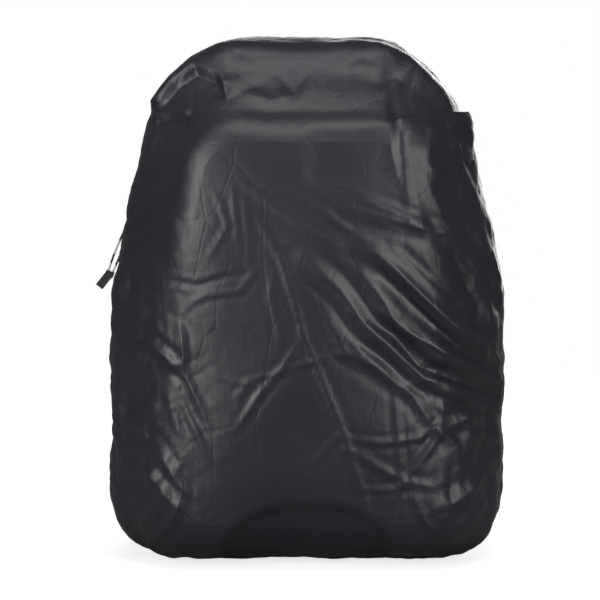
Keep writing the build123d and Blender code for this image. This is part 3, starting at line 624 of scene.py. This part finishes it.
def undercut(places):
    """How far each point goes back where the bottom of the front turns under, in an arch."""
    arch = 0.057 * np.clip(1.0 - np.abs((places[:, 0] - 0.001) / 0.095) ** 3, 0.0, 1.0)
    below = np.clip(arch - places[:, 1], 0.0, None)
    return 0.015 * (1.0 - np.exp(-below / 0.022)) * smoothstep(0.0, 0.016, below)


def shape_cover(points, normals):
    """Moves the points of the smooth cover to where the loose cloth lies."""
    places = seen(points)
    facing = smoothstep(0.05, 0.5, -normals[:, 1])
    moved = points.copy()

    # the whole cloth: slack between the places where the bag pushes it out
    crumpled = (
        0.9 * blob(places, 0.150, 0.090, 0.06, 0.09) + 0.8 * blob(places, -0.160, 0.130, 0.05, 0.14)
        + 0.6 * blob(places, 0.140, 0.385, 0.04, 0.05) + 0.4 * blob(places, -0.160, 0.300, 0.04, 0.10)
        + 0.5 * blob(places, 0.165, 0.250, 0.04, 0.12) + 0.25 * blob(places, 0.10, 0.47, 0.05, 0.03)
    )
    aside = 1.0 - smoothstep(0.2, 0.75, -normals[:, 1])
    crumpled = np.clip(crumpled + 0.40 * aside, 0.0, 1.0)
    rise = 0.0010 * swell(points, 14.0, 1) + crumpled * 0.0018 * swell(points, 28.0, 2)
    rise += crumpled * 0.0028 * (facets(points * np.array((1.0, 0.8, 0.7)), 26.0, 1) - 0.55)
    rise += (0.12 + 0.88 * crumpled) * 0.0010 * (facets(points, 60.0, 2) - 0.55)

    # dents and bulges of what lies under the front
    rise -= 0.0020 * smoothstep(-0.010, 0.012, places[:, 0]) * smoothstep(0.094, 0.070, places[:, 0]) * (
        smoothstep(0.346, 0.368, places[:, 1]) * smoothstep(0.420, 0.404, places[:, 1]))
    rise += 0.0045 * (blob(places, 0.070, 0.488, 0.032, 0.014) + blob(places, -0.070, 0.488, 0.032, 0.014))
    rise -= 0.0022 * blob(places, -0.190, 0.288, 0.030, 0.034)
    rise += 0.004 * blob(places, -0.100, 0.300, 0.045, 0.09) + 0.003 * blob(places, 0.085, 0.290, 0.035, 0.07)

    rise += facing * fold_lines(places) + smoothstep(-0.1, 0.2, -normals[:, 1]) * lips(places)
    moved += normals * rise[:, None]
    moved[:, 1] += facing * undercut(places) - dome(points)
    return moved


def make_cover(material):
    rows = spread([outline.points(y) for y, outline in RINGS], RING_STEPS)
    corner = BOTTOM_STEPS + LOW_CORNER_STEPS // 2
    points, faces = skin(rows, corner, 2 * corner)
    mesh = bpy.data.meshes.new("smooth_cover")
    mesh.from_pydata(points.tolist(), [], faces)
    mesh.update()
    normals = np.empty(len(points) * 3)
    mesh.vertex_normals.foreach_get("vector", normals)
    points = shape_cover(points, normals.reshape(-1, 3))
    mesh.vertices.foreach_set("co", points.ravel())
    mesh.update()
    bm = bmesh.new()
    bm.from_mesh(mesh)
    bpy.data.meshes.remove(mesh)
    cover = make_object("rain_cover_cloth", bm, material)
    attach(cover, "cover")
    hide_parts("rain_cover")
    return cover


# --------------------------------------------------------------------------------------------
# The bag's soft walls, lid and pocket
# --------------------------------------------------------------------------------------------

BACK = Outline(0.178, 0.130, 0.0055, 0.285, 0.487, 0.056, 0.20, 0.086)
MIDDLE = Outline(0.174, 0.1235, 0.0060, 0.262, 0.476, 0.054, 0.20, 0.084)
LID = Outline(0.161, 0.116, 0.0160, 0.245, 0.450, 0.050, 0.20, 0.074)
POCKET_ROOT = Outline(0.144, 0.110, 0.0270, 0.240, 0.427, 0.046, 0.18, 0.056)
POCKET_ZIP = Outline(0.1415, 0.109, 0.0310, 0.240, 0.425, 0.046, 0.18, 0.054)
POCKET_EDGE = Outline(0.128, 0.099, 0.044, 0.236, 0.411, 0.042, 0.16, 0.048)
POCKET_RIM = Outline(0.120, 0.092, 0.050, 0.234, 0.402, 0.036, 0.16, 0.044)
STATIONS = [(-0.060, LID), (-0.044, MIDDLE), (-0.028, MIDDLE), (0.072, BACK), (0.093, BACK)]
POCKET_STATIONS = [
    (-0.101, POCKET_RIM), (-0.097, POCKET_EDGE), (-0.087, POCKET_ZIP), (-0.071, POCKET_ZIP), (-0.064, POCKET_ROOT),
]
LOW_SEAM = 0.0615
HIGH_SEAM = 0.401
POCKET_ZIP_FOOT = 0.225
WALL = 0.004
PUFF = 0.0014


def outline_at(stations, y):
    for (front, a), (back, b) in zip(stations, stations[1:]):
        if front <= y <= back:
            return a.mixed(b, (y - front) / (back - front))
    raise ValueError(f"no outline at {y}")


def slumped(points):
    """The shoulders of the bag as the cover presses them in."""
    points = np.array(points)
    reach = smoothstep(0.36, 0.45, points[..., 2]) * smoothstep(0.05, 0.115, np.abs(points[..., 0]))
    reach = reach * smoothstep(0.070, 0.030, points[..., 1])
    points[..., 0] -= np.sign(points[..., 0]) * 0.0065 * reach
    points[..., 2] -= 0.0065 * reach
    return points


def wall(bm, stations, front, back, thick, arc=None, puff=PUFF):
    """A padded wall round the bag between two depths, swollen between its edges. arc is a span of points."""
    depths = np.linspace(front, back, 13)
    share = np.linspace(-1.0, 1.0, len(depths))
    swell_out = puff * (1.0 - share**6) - 0.25 * thick * np.abs(share) ** 12
    outer = [outline_at(stations, y).grown(out).points(y) for y, out in zip(depths, swell_out)]
    inner = [outline_at(stations, y).grown(-thick).points(y) for y in depths[::-1]]
    rows = np.array(outer + inner).transpose(1, 0, 2)
    if arc is not None:
        rows = np.roll(rows, -arc[0], axis=0)[: arc[1] - arc[0] + 1]
    swept(bm, slumped(rows), closed=arc is None)


def point_at(outline, z):
    """The number of the first point on the right side that is as high as z."""
    heights = outline.points(0.0)[:, 2]
    return int(np.argmax(heights >= z))


def whole():
    return len(BACK.points(0.0))


def make_walls(cloth):
    low, high, count = point_at(BACK, LOW_SEAM), point_at(BACK, HIGH_SEAM), whole()
    spans = {
        "bottom_panel": (-low, low), "side_panel_right": (low, high), "top_panel": (high, count - high),
        "side_panel_left": (count - high, count - low),
    }
    for name, arc in spans.items():
        bm = bmesh.new()
        wall(bm, STATIONS, -0.028, 0.072, WALL, arc)
        finish_piece(f"{name}_cloth", bm, cloth, "bag", "body_cloth", name)


def make_lid(cloth):
    bm = bmesh.new()
    wall(bm, STATIONS, -0.060, -0.044, WALL)
    finish_piece("lid_gusset_cloth", bm, cloth, "bag", "body_cloth", "lid_gusset")
    make_panel("lid_panel_cloth", LID, -0.0636, 0.0034, 0.0, cloth, "lid_panel")


def make_panel(name, outline, y, thick, bulge, cloth, node):
    """A padded panel with rounded edges. y is the depth of its face at the edge."""
    depths = [(-0.0022, 0.0), (-0.0008, 0.0006), (0.0, 0.0018), (0.0, thick), (-0.003, thick)]
    rows = [slumped(outline.grown(grow).points(y + back)) for grow, back in depths]
    corner = BOTTOM_STEPS + LOW_CORNER_STEPS // 2
    points, faces = skin(rows, corner, 2 * corner)
    middle = (outline.values[2] + outline.values[4]) / 2
    tall = (outline.values[4] - outline.values[2]) / 2
    across = np.clip(1.0 - (points[:, 0] / outline.values[0]) ** 2, 0.0, 1.0)
    across *= np.clip(1.0 - np.abs((points[:, 2] - middle) / tall) ** 3, 0.0, 1.0)
    points[:, 1] -= bulge * across
    finish_piece(name, from_faces(points, faces), cloth, "bag", "body_cloth", node)


def make_pocket(cloth):
    foot, count = point_at(POCKET_ZIP, POCKET_ZIP_FOOT), whole()
    bm = bmesh.new()
    wall(bm, POCKET_STATIONS, -0.071, -0.064, 0.003, puff=0.0004)
    wall(bm, POCKET_STATIONS, -0.0965, -0.087, 0.003, puff=0.0004)
    wall(bm, POCKET_STATIONS, -0.087, -0.071, 0.003, (-foot, foot), puff=0.0004)
    finish_piece("pocket_gusset_cloth", bm, cloth, "bag", "body_cloth", "pocket_gusset")
    make_panel("pocket_panel_cloth", POCKET_EDGE, -0.0998, 0.003, 0.014, cloth, "pocket_panel")


def make_lining(cloth):
    bm = bmesh.new()
    for front, back in ((-0.059, -0.045), (-0.045, 0.071)):
        stations = [(y, outline.grown(-WALL - 0.0008)) for y, outline in STATIONS]
        wall(bm, stations, front, back, 0.0008, puff=0.0)
    finish_piece("lining_cloth", bm, cloth, "bag", "lining_cloth", "lining")
    bm = bmesh.new()
    stations = [(y, outline.grown(-0.004)) for y, outline in STATIONS]
    wall(bm, stations, 0.0745, 0.0905, 0.012, puff=0.0)
    finish_piece("expansion_pleat_cloth", bm, cloth, "bag", "lining_cloth", "expansion_pleat")


def make_piping(name, outline, y, cloth, node):
    bm = bmesh.new()
    path = resampled(slumped(outline.grown(0.0019).points(y)), 420, closed=True)
    tube(bm, path, (0.0, 1.0, 0.0), True, circle(0.0017, 0.0017, 10))
    finish_piece(name, bm, cloth, "bag", "body_cloth", node)


TOOTH = 0.0024  # from one tooth of a coil to the next
STEPS_A_TOOTH = 4


def make_zip(name, outline, middle, half, foot, tape, teeth):
    """Tape and coil of a zip that runs round an outline."""
    arc = None
    points = outline.grown(0.0009).points(middle)
    if foot is not None:
        start = point_at(outline, foot)
        arc = (start, whole() - start)
        points = points[arc[0]:arc[1] + 1]
    bm = bmesh.new()
    wall(bm, [(middle - half, outline), (middle + half, outline)], middle - half, middle + half, 0.0012, arc, 0.0)
    finish_piece(f"{name}_tape_weave", bm, tape, "bag", "zip_tape", f"{name}_tape")
    points = slumped(points)
    length = np.linalg.norm(np.diff(points, axis=0), axis=1).sum()
    count = int(length / TOOTH) * STEPS_A_TOOTH
    path = resampled(points, count, arc is None)
    beat = 0.5 + 0.5 * np.cos(np.arange(count) * math.tau / STEPS_A_TOOTH)
    outline = np.array(circle(1.0, 1.0, 8))[None] * np.stack([0.0021 + 0.0004 * beat, 0.0006 + 0.0003 * beat], 1)[:, None]
    bm = bmesh.new()
    tube(bm, path, (0.0, 1.0, 0.0), arc is None, outline)
    finish_piece(f"{name}_coil_teeth", bm, teeth, "bag", "zip_coil", f"{name}_coil")


def make_hem(material):
    """The hem's elastic, which gathers."""
    bm = bmesh.new()
    rows = []
    gather = 0.0005 * np.sin(np.arange(whole()) * math.tau / 4.0)
    for y, grow in ((0.0545, -0.002), (0.0545, -0.0042), (0.0600, -0.0042), (0.0600, -0.002)):
        row = BACK.grown(0.0055 + grow).points(y)
        row[:, 1] += gather
        row[:, 2] = np.maximum(row[:, 2], 0.0018)
        rows.append(row)
    swept(bm, np.array(rows).transpose(1, 0, 2), closed=True)
    finish_piece("hem_elastic_gathers", bm, material, "cover", "elastic", "hem_elastic")


# --------------------------------------------------------------------------------------------
# Base, straps and pull
# --------------------------------------------------------------------------------------------

PAD_BACK, PAD_FACE = 0.112, 0.126
PADS = {"lower": (0.020, 0.124), "middle": (0.168, 0.296), "upper": (0.340, 0.420)}
PAD_CORNER = 0.012


def pad_half(z):
    """Half the pads' width at a height."""
    return 0.1625 - max(0.0, z - 0.285) * math.tan(math.radians(13.4))


def rounded(low, high, inset, y, steps=8):
    """The outline of a pad, anticlockwise from the low left corner."""
    radius = PAD_CORNER - inset * 0.6
    points = []
    for side, z, start in ((-1, low, 180), (1, low, 270), (1, high, 0), (-1, high, 90)):
        inner_z = z + (radius + inset if z == low else -radius - inset)
        inner_x = side * (pad_half(z) - radius - inset)
        for turn in np.linspace(math.radians(start), math.radians(start + 90), steps):
            points.append((inner_x + radius * math.cos(turn), y, inner_z + radius * math.sin(turn)))
    return np.array(points)


def make_pad(name, low, high, material):
    """A padded cushion with two sewn channels across it."""
    across, tall = 110, max(24, int((high - low) / 0.0028))
    levels = [(0.0085, 0.0), (0.0045, -0.0005), (0.0016, -0.0020), (0.0, -0.0055), (0.0, PAD_BACK - PAD_FACE)]
    rows = []
    for inset, back in levels:
        loop = rounded(low, high, inset, PAD_FACE + back)
        start = loop[3:4]
        loop = np.roll(loop, -3, axis=0)
        corners = [0, 8, 16, 24, 32]
        loop = np.vstack([loop, start])
        parts = []
        for first, last, steps in zip(corners, corners[1:], (across, tall, across, tall)):
            parts.append(resampled(loop[first:last + 1], steps + 1, False)[:-1])
        rows.append(np.vstack(parts))
    points, faces = skin(rows, 0, across)
    share = (points[:, 2] - low) / (high - low)
    front = smoothstep(PAD_BACK + 0.006, PAD_FACE - 0.001, points[:, 1])
    groove = np.exp(-(((share - 0.34) * (high - low)) / 0.0022) ** 2)
    groove += np.exp(-(((share - 0.66) * (high - low)) / 0.0022) ** 2)
    points[:, 1] -= front * 0.0032 * np.clip(groove, 0.0, 1.0)
    finish_piece(f"{name}_pad_cushion", from_faces(points, faces), material, "bag", "pad_foam", f"{name}_pad")


WEB_HALF, WEB_THICK = 0.0125, 0.0015
WEB_Y, BAR_Y, TAB_Y = 0.11395, 0.11645, 0.11275
LOOP = 0.0025


def webbing(bm, points, z):
    """Webbing along points of x and y, at a height, with a rounded edge and rounded turns."""
    line = np.array([(x, y, z) for x, y in points])
    fine = resampled(line, max(40, int(np.abs(np.diff(line[:, 0])).sum() / 0.0008)), False)
    for _ in range(6):
        fine[1:-1] = (fine[:-2] + 2 * fine[1:-1] + fine[2:]) / 4
    edge = WEB_THICK / 2
    outline = [
        (-WEB_HALF, -edge * 0.4), (-WEB_HALF + edge, -edge), (0.0, -edge), (WEB_HALF - edge, -edge),
        (WEB_HALF, -edge * 0.4), (WEB_HALF, edge * 0.4), (WEB_HALF - edge, edge), (0.0, edge),
        (-WEB_HALF + edge, edge), (-WEB_HALF, edge * 0.4),
    ]
    tube(bm, fine, (0.0, 0.0, 1.0), False, outline)


def end_loop(x, inward, overlap):
    """Webbing that goes out under a bar, round it, and back over itself."""
    turn = [
        (x - inward * LOOP * math.sin(angle), WEB_Y + LOOP - LOOP * math.cos(angle))
        for angle in np.linspace(0.15, math.pi, 9)
    ]
    over = WEB_Y + WEB_THICK + 0.0001
    return turn + [(x + inward * 0.003, WEB_Y + 2 * LOOP), (x + inward * 0.009, over), (x + inward * (0.009 + overlap), over)]


def box_stitch(bm, x_low, x_high, y, z):
    """A sewn box with a cross in it, stitch by stitch."""
    tall = WEB_HALF - 0.003
    corners = [(x_low, z - tall), (x_high, z - tall), (x_high, z + tall), (x_low, z + tall)]
    runs = list(zip(corners, corners[1:] + corners[:1])) + [(corners[0], corners[2]), (corners[1], corners[3])]
    for start, end in runs:
        start, end = Vector(start), Vector(end)
        count = max(2, round((end - start).length / 0.0026))
        for i in range(count):
            a, b = start.lerp(end, (i + 0.15) / count), start.lerp(end, (i + 0.85) / count)
            middle = (a + b) / 2
            line = [(a.x, y, a.y), (middle.x, y + 0.00025, middle.y), (b.x, y, b.y)]
            tube(bm, line, (0.0, 1.0, 0.0), False, circle(0.00028, 0.00028, 5))


def make_straps(name, z, tab_end, web, thread, elastic):
    outer_bar = tab_end - 0.017
    inner_bar = outer_bar - 0.013
    socket_bar, plug_bar = -0.043, 0.0234
    bm = bmesh.new()
    webbing(bm, end_loop(-inner_bar, 1, 0.020)[::-1] + end_loop(socket_bar, -1, 0.020), z)
    finish_piece(f"{name}_strap_fixed_web", bm, web, "bag", "webbing", f"{name}_strap_fixed")
    bm = bmesh.new()
    webbing(bm, end_loop(plug_bar, 1, 0.052)[::-1] + end_loop(inner_bar, -1, 0.014), z)
    finish_piece(f"{name}_strap_adjust_web", bm, web, "bag", "webbing", f"{name}_strap_adjust")
    seams = bmesh.new()
    top = WEB_Y + 1.5 * WEB_THICK + 0.0002
    box_stitch(seams, -inner_bar + 0.012, -inner_bar + 0.027, top, z)
    box_stitch(seams, socket_bar - 0.027, socket_bar - 0.012, top, z)
    box_stitch(seams, inner_bar - 0.022, inner_bar - 0.012, top, z)
    for side, place in ((-1, "left"), (1, "right")):
        bm = bmesh.new()
        start = [(side * tab_end, TAB_Y), (side * (outer_bar + 0.009), TAB_Y), (side * (outer_bar + 0.004), WEB_Y)]
        webbing(bm, start + end_loop(side * outer_bar, side, tab_end - outer_bar - 0.0115), z)
        finish_piece(f"{name}_{place}_tab_web", bm, web, "bag", "webbing", f"{name}_{place}_tab")
    finish_piece(f"{name}_strap_seams", seams, thread, "bag", "webbing")
    bm = bmesh.new()
    keeper = plug_bar + 0.050
    low, high, half = 0.1126, 0.11695, WEB_HALF + 0.0006
    loop = [(keeper, low, z - half), (keeper, low, z + half), (keeper, high, z + half), (keeper, high, z - half)]
    path = resampled(np.array(loop), 72, True)
    for _ in range(3):
        path = (np.roll(path, 1, axis=0) + 2 * path + np.roll(path, -1, axis=0)) / 4
    tube(bm, path, (1.0, 0.0, 0.0), True, [(-0.006, -0.0003), (0.006, -0.0003), (0.006, 0.0003), (-0.006, 0.0003)])
    finish_piece(f"{name}_keeper_elastic", bm, elastic, "bag", "elastic", f"{name}_keeper")


# The pull's cord: its hinge, its direction away from the slider, and the direction away from the bag
PULL_HINGE = Vector((-0.173712, 0.0825, 0.327268))
PULL_AHEAD = Vector((-0.3806, 0.0, -0.9247))
PULL_OUT = Vector((-0.9247, 0.0, 0.3806))
PULL_FOLD = 0.014
CORD = 0.0022
CORD_ROUTE = [
    (0.0530, -0.0020), (0.0360, -0.0028), (0.0180, -0.0029), (0.0080, -0.0025), (0.0027, -0.0028), (0.0, -0.0017),
    (0.0, 0.0017), (0.0027, 0.0029), (0.0080, 0.0026), (0.0180, 0.0033), (0.0360, 0.0032), (0.0530, 0.0020),
]


def make_pull_cord(material):
    data = bpy.data.curves.new("pull_cord", "CURVE")
    data.dimensions = "3D"
    spline = data.splines.new("NURBS")
    spline.points.add(len(CORD_ROUTE) - 1)
    places = [PULL_HINGE + PULL_AHEAD * (PULL_FOLD + along) + PULL_OUT * off for along, off in CORD_ROUTE]
    for point, place in zip(spline.points, places):
        point.co = (*place, 1.0)
    spline.order_u = 3
    spline.use_endpoint_u = True
    spline.resolution_u = 12
    data.bevel_depth = CORD / 2
    data.bevel_resolution = 5
    data.use_fill_caps = True
    cord = bpy.data.objects.new("pull_cord", data)
    bpy.context.scene.collection.objects.link(cord)
    data.materials.append(material)
    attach(cord, "expansion_pull")
    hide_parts("expansion_pull_cord")


# --------------------------------------------------------------------------------------------
# Materials of the bag
# --------------------------------------------------------------------------------------------

def woven(name, dark, light, pitch, roughness, depth=0.0003):
    """Cloth in a basket weave, with a little wear."""
    shader = Shader(name)
    x, y, z = (shader.wave(pitch, axis, 0.3) for axis in "XYZ")
    weave = x * z + y * (1 - x) * 0.6
    wear = shader.noise(18.0, 4.0).ramp(0.45, 0.8)
    colour = shader.mix(weave.ramp(0.0, 0.9), dark, light)
    colour = shader.mix(wear * 0.25, colour, tuple(1.35 * value for value in light[:3]) + (1.0,))
    normal = shader.bump(shader.noise(35.0, 3.0), 0.0012, 0.25)
    normal = shader.bump(weave, depth, 0.7, normal)
    return shader.finish(Base_Color=colour, Roughness=wear.ramp(0.0, 1.0, roughness, roughness + 0.08), Normal=normal)


def webbing_cloth():
    """Ribs along the webbing, crossed by a fine herringbone."""
    shader = Shader("webbing_weave")
    ribs = shader.wave(0.0018, "Z")
    cross = shader.wave(0.0011, "X", 1.2)
    height = ribs * 0.7 + cross * 0.3
    colour = shader.mix(height, grey(0.008, 0.0083, 0.009), grey(0.030, 0.031, 0.033))
    return shader.finish(Base_Color=colour, Roughness=0.62, Normal=shader.bump(height, 0.0004, 0.8))


def thread_cloth():
    shader = Shader("bonded_thread")
    twist = shader.wave(0.0006, "DIAGONAL")
    colour = shader.mix(twist, grey(0.018), grey(0.045))
    return shader.finish(Base_Color=colour, Roughness=0.45, Normal=shader.bump(twist, 0.0001, 0.6))


def elastic_cloth():
    shader = Shader("ribbed_elastic")
    ribs = shader.wave(0.0014, "X") * 0.5 + shader.wave(0.0014, "Y") * 0.5
    colour = shader.mix(ribs, grey(0.010), grey(0.032, 0.032, 0.034))
    return shader.finish(Base_Color=colour, Roughness=0.7, Normal=shader.bump(ribs, 0.0004, 0.7))


def moulded(name, colour, light, roughness, scale, depth, coat=0.0):
    """Moulded plastic or rubber with a fine grain, rubbed lighter in places."""
    shader = Shader(name)
    grain = shader.cells(scale)
    rubbed = shader.noise(26.0, 5.0).ramp(0.5, 0.75)
    tone = shader.mix(rubbed * 0.5, colour, light)
    rough = rubbed.ramp(0.0, 1.0, roughness, roughness + 0.10)
    normal = shader.bump(grain, depth, 0.6)
    return shader.finish(Base_Color=tone, Roughness=rough, Normal=normal, Coat_Weight=coat)


def mesh_pad():
    """Air mesh: open cells over foam."""
    shader = Shader("air_mesh")
    holes = shader.cells(420.0).ramp(0.25, 0.6)
    fuzz = shader.noise(900.0, 2.0)
    colour = shader.mix(holes, grey(0.007), grey(0.034, 0.035, 0.037))
    normal = shader.bump(fuzz, 0.0003, 0.4, shader.bump(holes, 0.0008, 0.7))
    return shader.finish(Base_Color=colour, Roughness=0.78, Normal=normal)


def painted_metal(name, colour, light, metallic):
    """Paint over die-cast metal, worn bright where it is rubbed."""
    shader = Shader(name)
    worn = shader.noise(420.0, 5.0, 0.65).ramp(0.60, 0.72)
    peel = shader.noise(1400.0, 2.0)
    tone = shader.mix(worn * 0.6, colour, light)
    shine = worn * 0.8 + metallic
    return shader.finish(
        Base_Color=tone, Metallic=shine, Roughness=worn.ramp(0.0, 1.0, 0.34, 0.22), Normal=shader.bump(peel, 0.00008, 0.4),
    )


def coil_plastic():
    shader = Shader("coil_nylon")
    tone = shader.noise(300.0, 3.0).ramp(0.3, 0.7)
    colour = shader.mix(tone, grey(0.012), grey(0.024))
    return shader.finish(Base_Color=colour, Roughness=0.32, Normal=shader.bump(tone, 0.0001, 0.4))


REFLECTIVE_SPANS = [(0.016, 0.030), (0.040, 0.049)]  # along the pull from the cord's fold


def reflective_cord():
    """Black braid with woven-in bright lengths."""
    shader = Shader("braided_cord")
    start = PULL_HINGE + PULL_AHEAD * PULL_FOLD
    away = shader.node("ShaderNodeVectorMath", {"operation": "SUBTRACT"}, [shader.place, tuple(start)])
    along = shader.node("ShaderNodeVectorMath", {"operation": "DOT_PRODUCT"}, [away, tuple(PULL_AHEAD)], "Value")
    bright = 0.0
    for low, high in REFLECTIVE_SPANS:
        bright = along.ramp(low, low + 0.0008) * along.ramp(high + 0.0008, high) + bright
    braid = shader.wave(0.0011, "DIAGONAL") * 0.6 + shader.wave(0.0009, "Z") * 0.4
    black = shader.mix(braid, grey(0.008), grey(0.035))
    silver = shader.mix(braid, grey(0.42, 0.43, 0.45), grey(0.78, 0.79, 0.80))
    colour = shader.mix(bright, black, silver)
    return shader.finish(Base_Color=colour, Roughness=0.55, Normal=shader.bump(braid, 0.0003, 0.8))


def give(material, *names):
    for name in names:
        slots = nodes[name].data.materials
        slots.clear()
        slots.append(material)


def make_bag():
    cloth = woven("bag_canvas", grey(0.010, 0.0105, 0.0115), grey(0.034, 0.035, 0.038), 0.0016, 0.60)
    inner = woven("lining_weave", grey(0.045, 0.047, 0.050), grey(0.090, 0.093, 0.098), 0.0010, 0.5, 0.0002)
    tape = woven("tape_weave", grey(0.008), grey(0.024), 0.0009, 0.66, 0.0002)
    binding = woven("binding_weave", grey(0.008), grey(0.028), 0.0012, 0.6, 0.0002)
    teeth = coil_plastic()
    web, thread, elastic = webbing_cloth(), thread_cloth(), elastic_cloth()
    make_walls(cloth)
    make_lid(cloth)
    make_pocket(cloth)
    make_lining(inner)
    make_piping("lid_piping_cord", LID, -0.0619, binding, "lid_piping")
    make_piping("pocket_piping_cord", POCKET_EDGE.grown(-0.0008), -0.0978, binding, "pocket_piping")
    make_zip("expansion_zip", BACK, 0.0825, 0.0105, None, tape, teeth)
    make_zip("main_zip", MIDDLE, -0.036, 0.008, LOW_SEAM, tape, teeth)
    make_zip("pocket_zip", POCKET_ZIP, -0.079, 0.008, POCKET_ZIP_FOOT, tape, teeth)
    make_hem(elastic)
    padding = mesh_pad()
    for name, (low, high) in PADS.items():
        make_pad(name, low, high, padding)
    make_straps("lower", 0.146, 0.1755, web, thread, elastic)
    make_straps("upper", 0.318, 0.1648, web, thread, elastic)
    make_pull_cord(reflective_cord())

    shell = moulded("tray_shell", grey(0.012, 0.0123, 0.013), grey(0.030), 0.48, 900.0, 0.0002)
    plastic = moulded("acetal", grey(0.010), grey(0.022), 0.34, 1500.0, 0.00008, 0.1)
    rubber = moulded("soft_rubber", grey(0.011), grey(0.026), 0.58, 1100.0, 0.00015)
    gunmetal = painted_metal("slider_paint", grey(0.016, 0.016, 0.018), grey(0.45, 0.44, 0.42), 0.15)
    steel = painted_metal("ring_paint", grey(0.020), grey(0.50, 0.49, 0.47), 0.2)
    give(shell, "base_tray")
    give(gunmetal, "expansion_slider", "expansion_pull_tab", "main_left_slider", "main_right_slider", "pocket_slider")
    give(rubber, "expansion_pull_grip", "main_left_pull", "main_right_pull", "pocket_pull")
    give(rubber, "handle_strap", "handle_grip")
    give(plastic, "handle_bracket_left", "handle_bracket_right")
    for strap in ("lower", "upper"):
        give(plastic, f"{strap}_buckle_socket", f"{strap}_buckle_plug", f"{strap}_latch_a", f"{strap}_latch_b")
        give(steel, f"{strap}_left_ring", f"{strap}_right_ring")


# --------------------------------------------------------------------------------------------
# Stage
# --------------------------------------------------------------------------------------------

def make_stage():
    world = bpy.data.worlds.new("studio")
    bpy.context.scene.world = world
    world.use_nodes = True
    tree = world.node_tree
    studio = tree.nodes["Background"]
    studio.inputs["Color"].default_value = grey(1.0)
    studio.inputs["Strength"].default_value = WORLD_LIGHT
    white = tree.nodes.new("ShaderNodeEmission")
    path = tree.nodes.new("ShaderNodeLightPath")
    mix = tree.nodes.new("ShaderNodeMixShader")
    tree.links.new(path.outputs["Is Camera Ray"], mix.inputs[0])
    tree.links.new(studio.outputs[0], mix.inputs[1])
    tree.links.new(white.outputs[0], mix.inputs[2])
    tree.links.new(mix.outputs[0], tree.nodes["World Output"].inputs["Surface"])

    # the floor is white to the camera and keeps the shadow, and is a darker table to the cloth above it
    bm = bmesh.new()
    bmesh.ops.create_grid(bm, x_segments=2, y_segments=2, size=1.6)
    table = Shader("pale_floor")
    to_camera = table.node("ShaderNodeLightPath", output="Is Camera Ray")
    table.finish(
        Base_Color=table.mix(to_camera, grey(0.20), grey(0.45)), Roughness=0.9,
        Emission_Color=table.mix(to_camera, grey(0.0), grey(1.0)), Emission_Strength=FLOOR_GLOW,
    )
    make_object("floor", bm, table.material, smooth=False)


WORLD_LIGHT = 0.10
FLOOR_GLOW = 0.75

# Soft boxes: name, place, what it points at, width, height and power
LAMPS = [
    ("left_box", (-1.45, -1.55, 0.70), (0.0, 0.0, 0.26), 0.6, 1.5, 33.0),
    ("right_box", (1.40, -1.60, 0.75), (0.0, 0.0, 0.26), 0.5, 1.5, 24.0),
    ("top_box", (0.0, -0.7, 2.0), (0.0, 0.0, 0.4), 1.6, 0.8, 15.0),
    ("back_box", (0.5, 2.2, 0.7), (0.0, 0.0, 0.25), 1.6, 1.0, 30.0),
]


def make_lamps():
    for name, place, target, width, height, power in LAMPS:
        data = bpy.data.lights.new(name, "AREA")
        data.shape = "RECTANGLE"
        data.size = width
        data.size_y = height
        data.energy = power
        lamp = bpy.data.objects.new(name, data)
        lamp.location = place
        lamp.rotation_euler = (Vector(target) - Vector(place)).to_track_quat("-Z", "Y").to_euler()
        bpy.context.scene.collection.objects.link(lamp)


# --------------------------------------------------------------------------------------------

make_camera()
make_stage()
make_lamps()
make_cover(coated_nylon())
make_bag()
bpy.context.scene.view_settings.view_transform = "Standard"
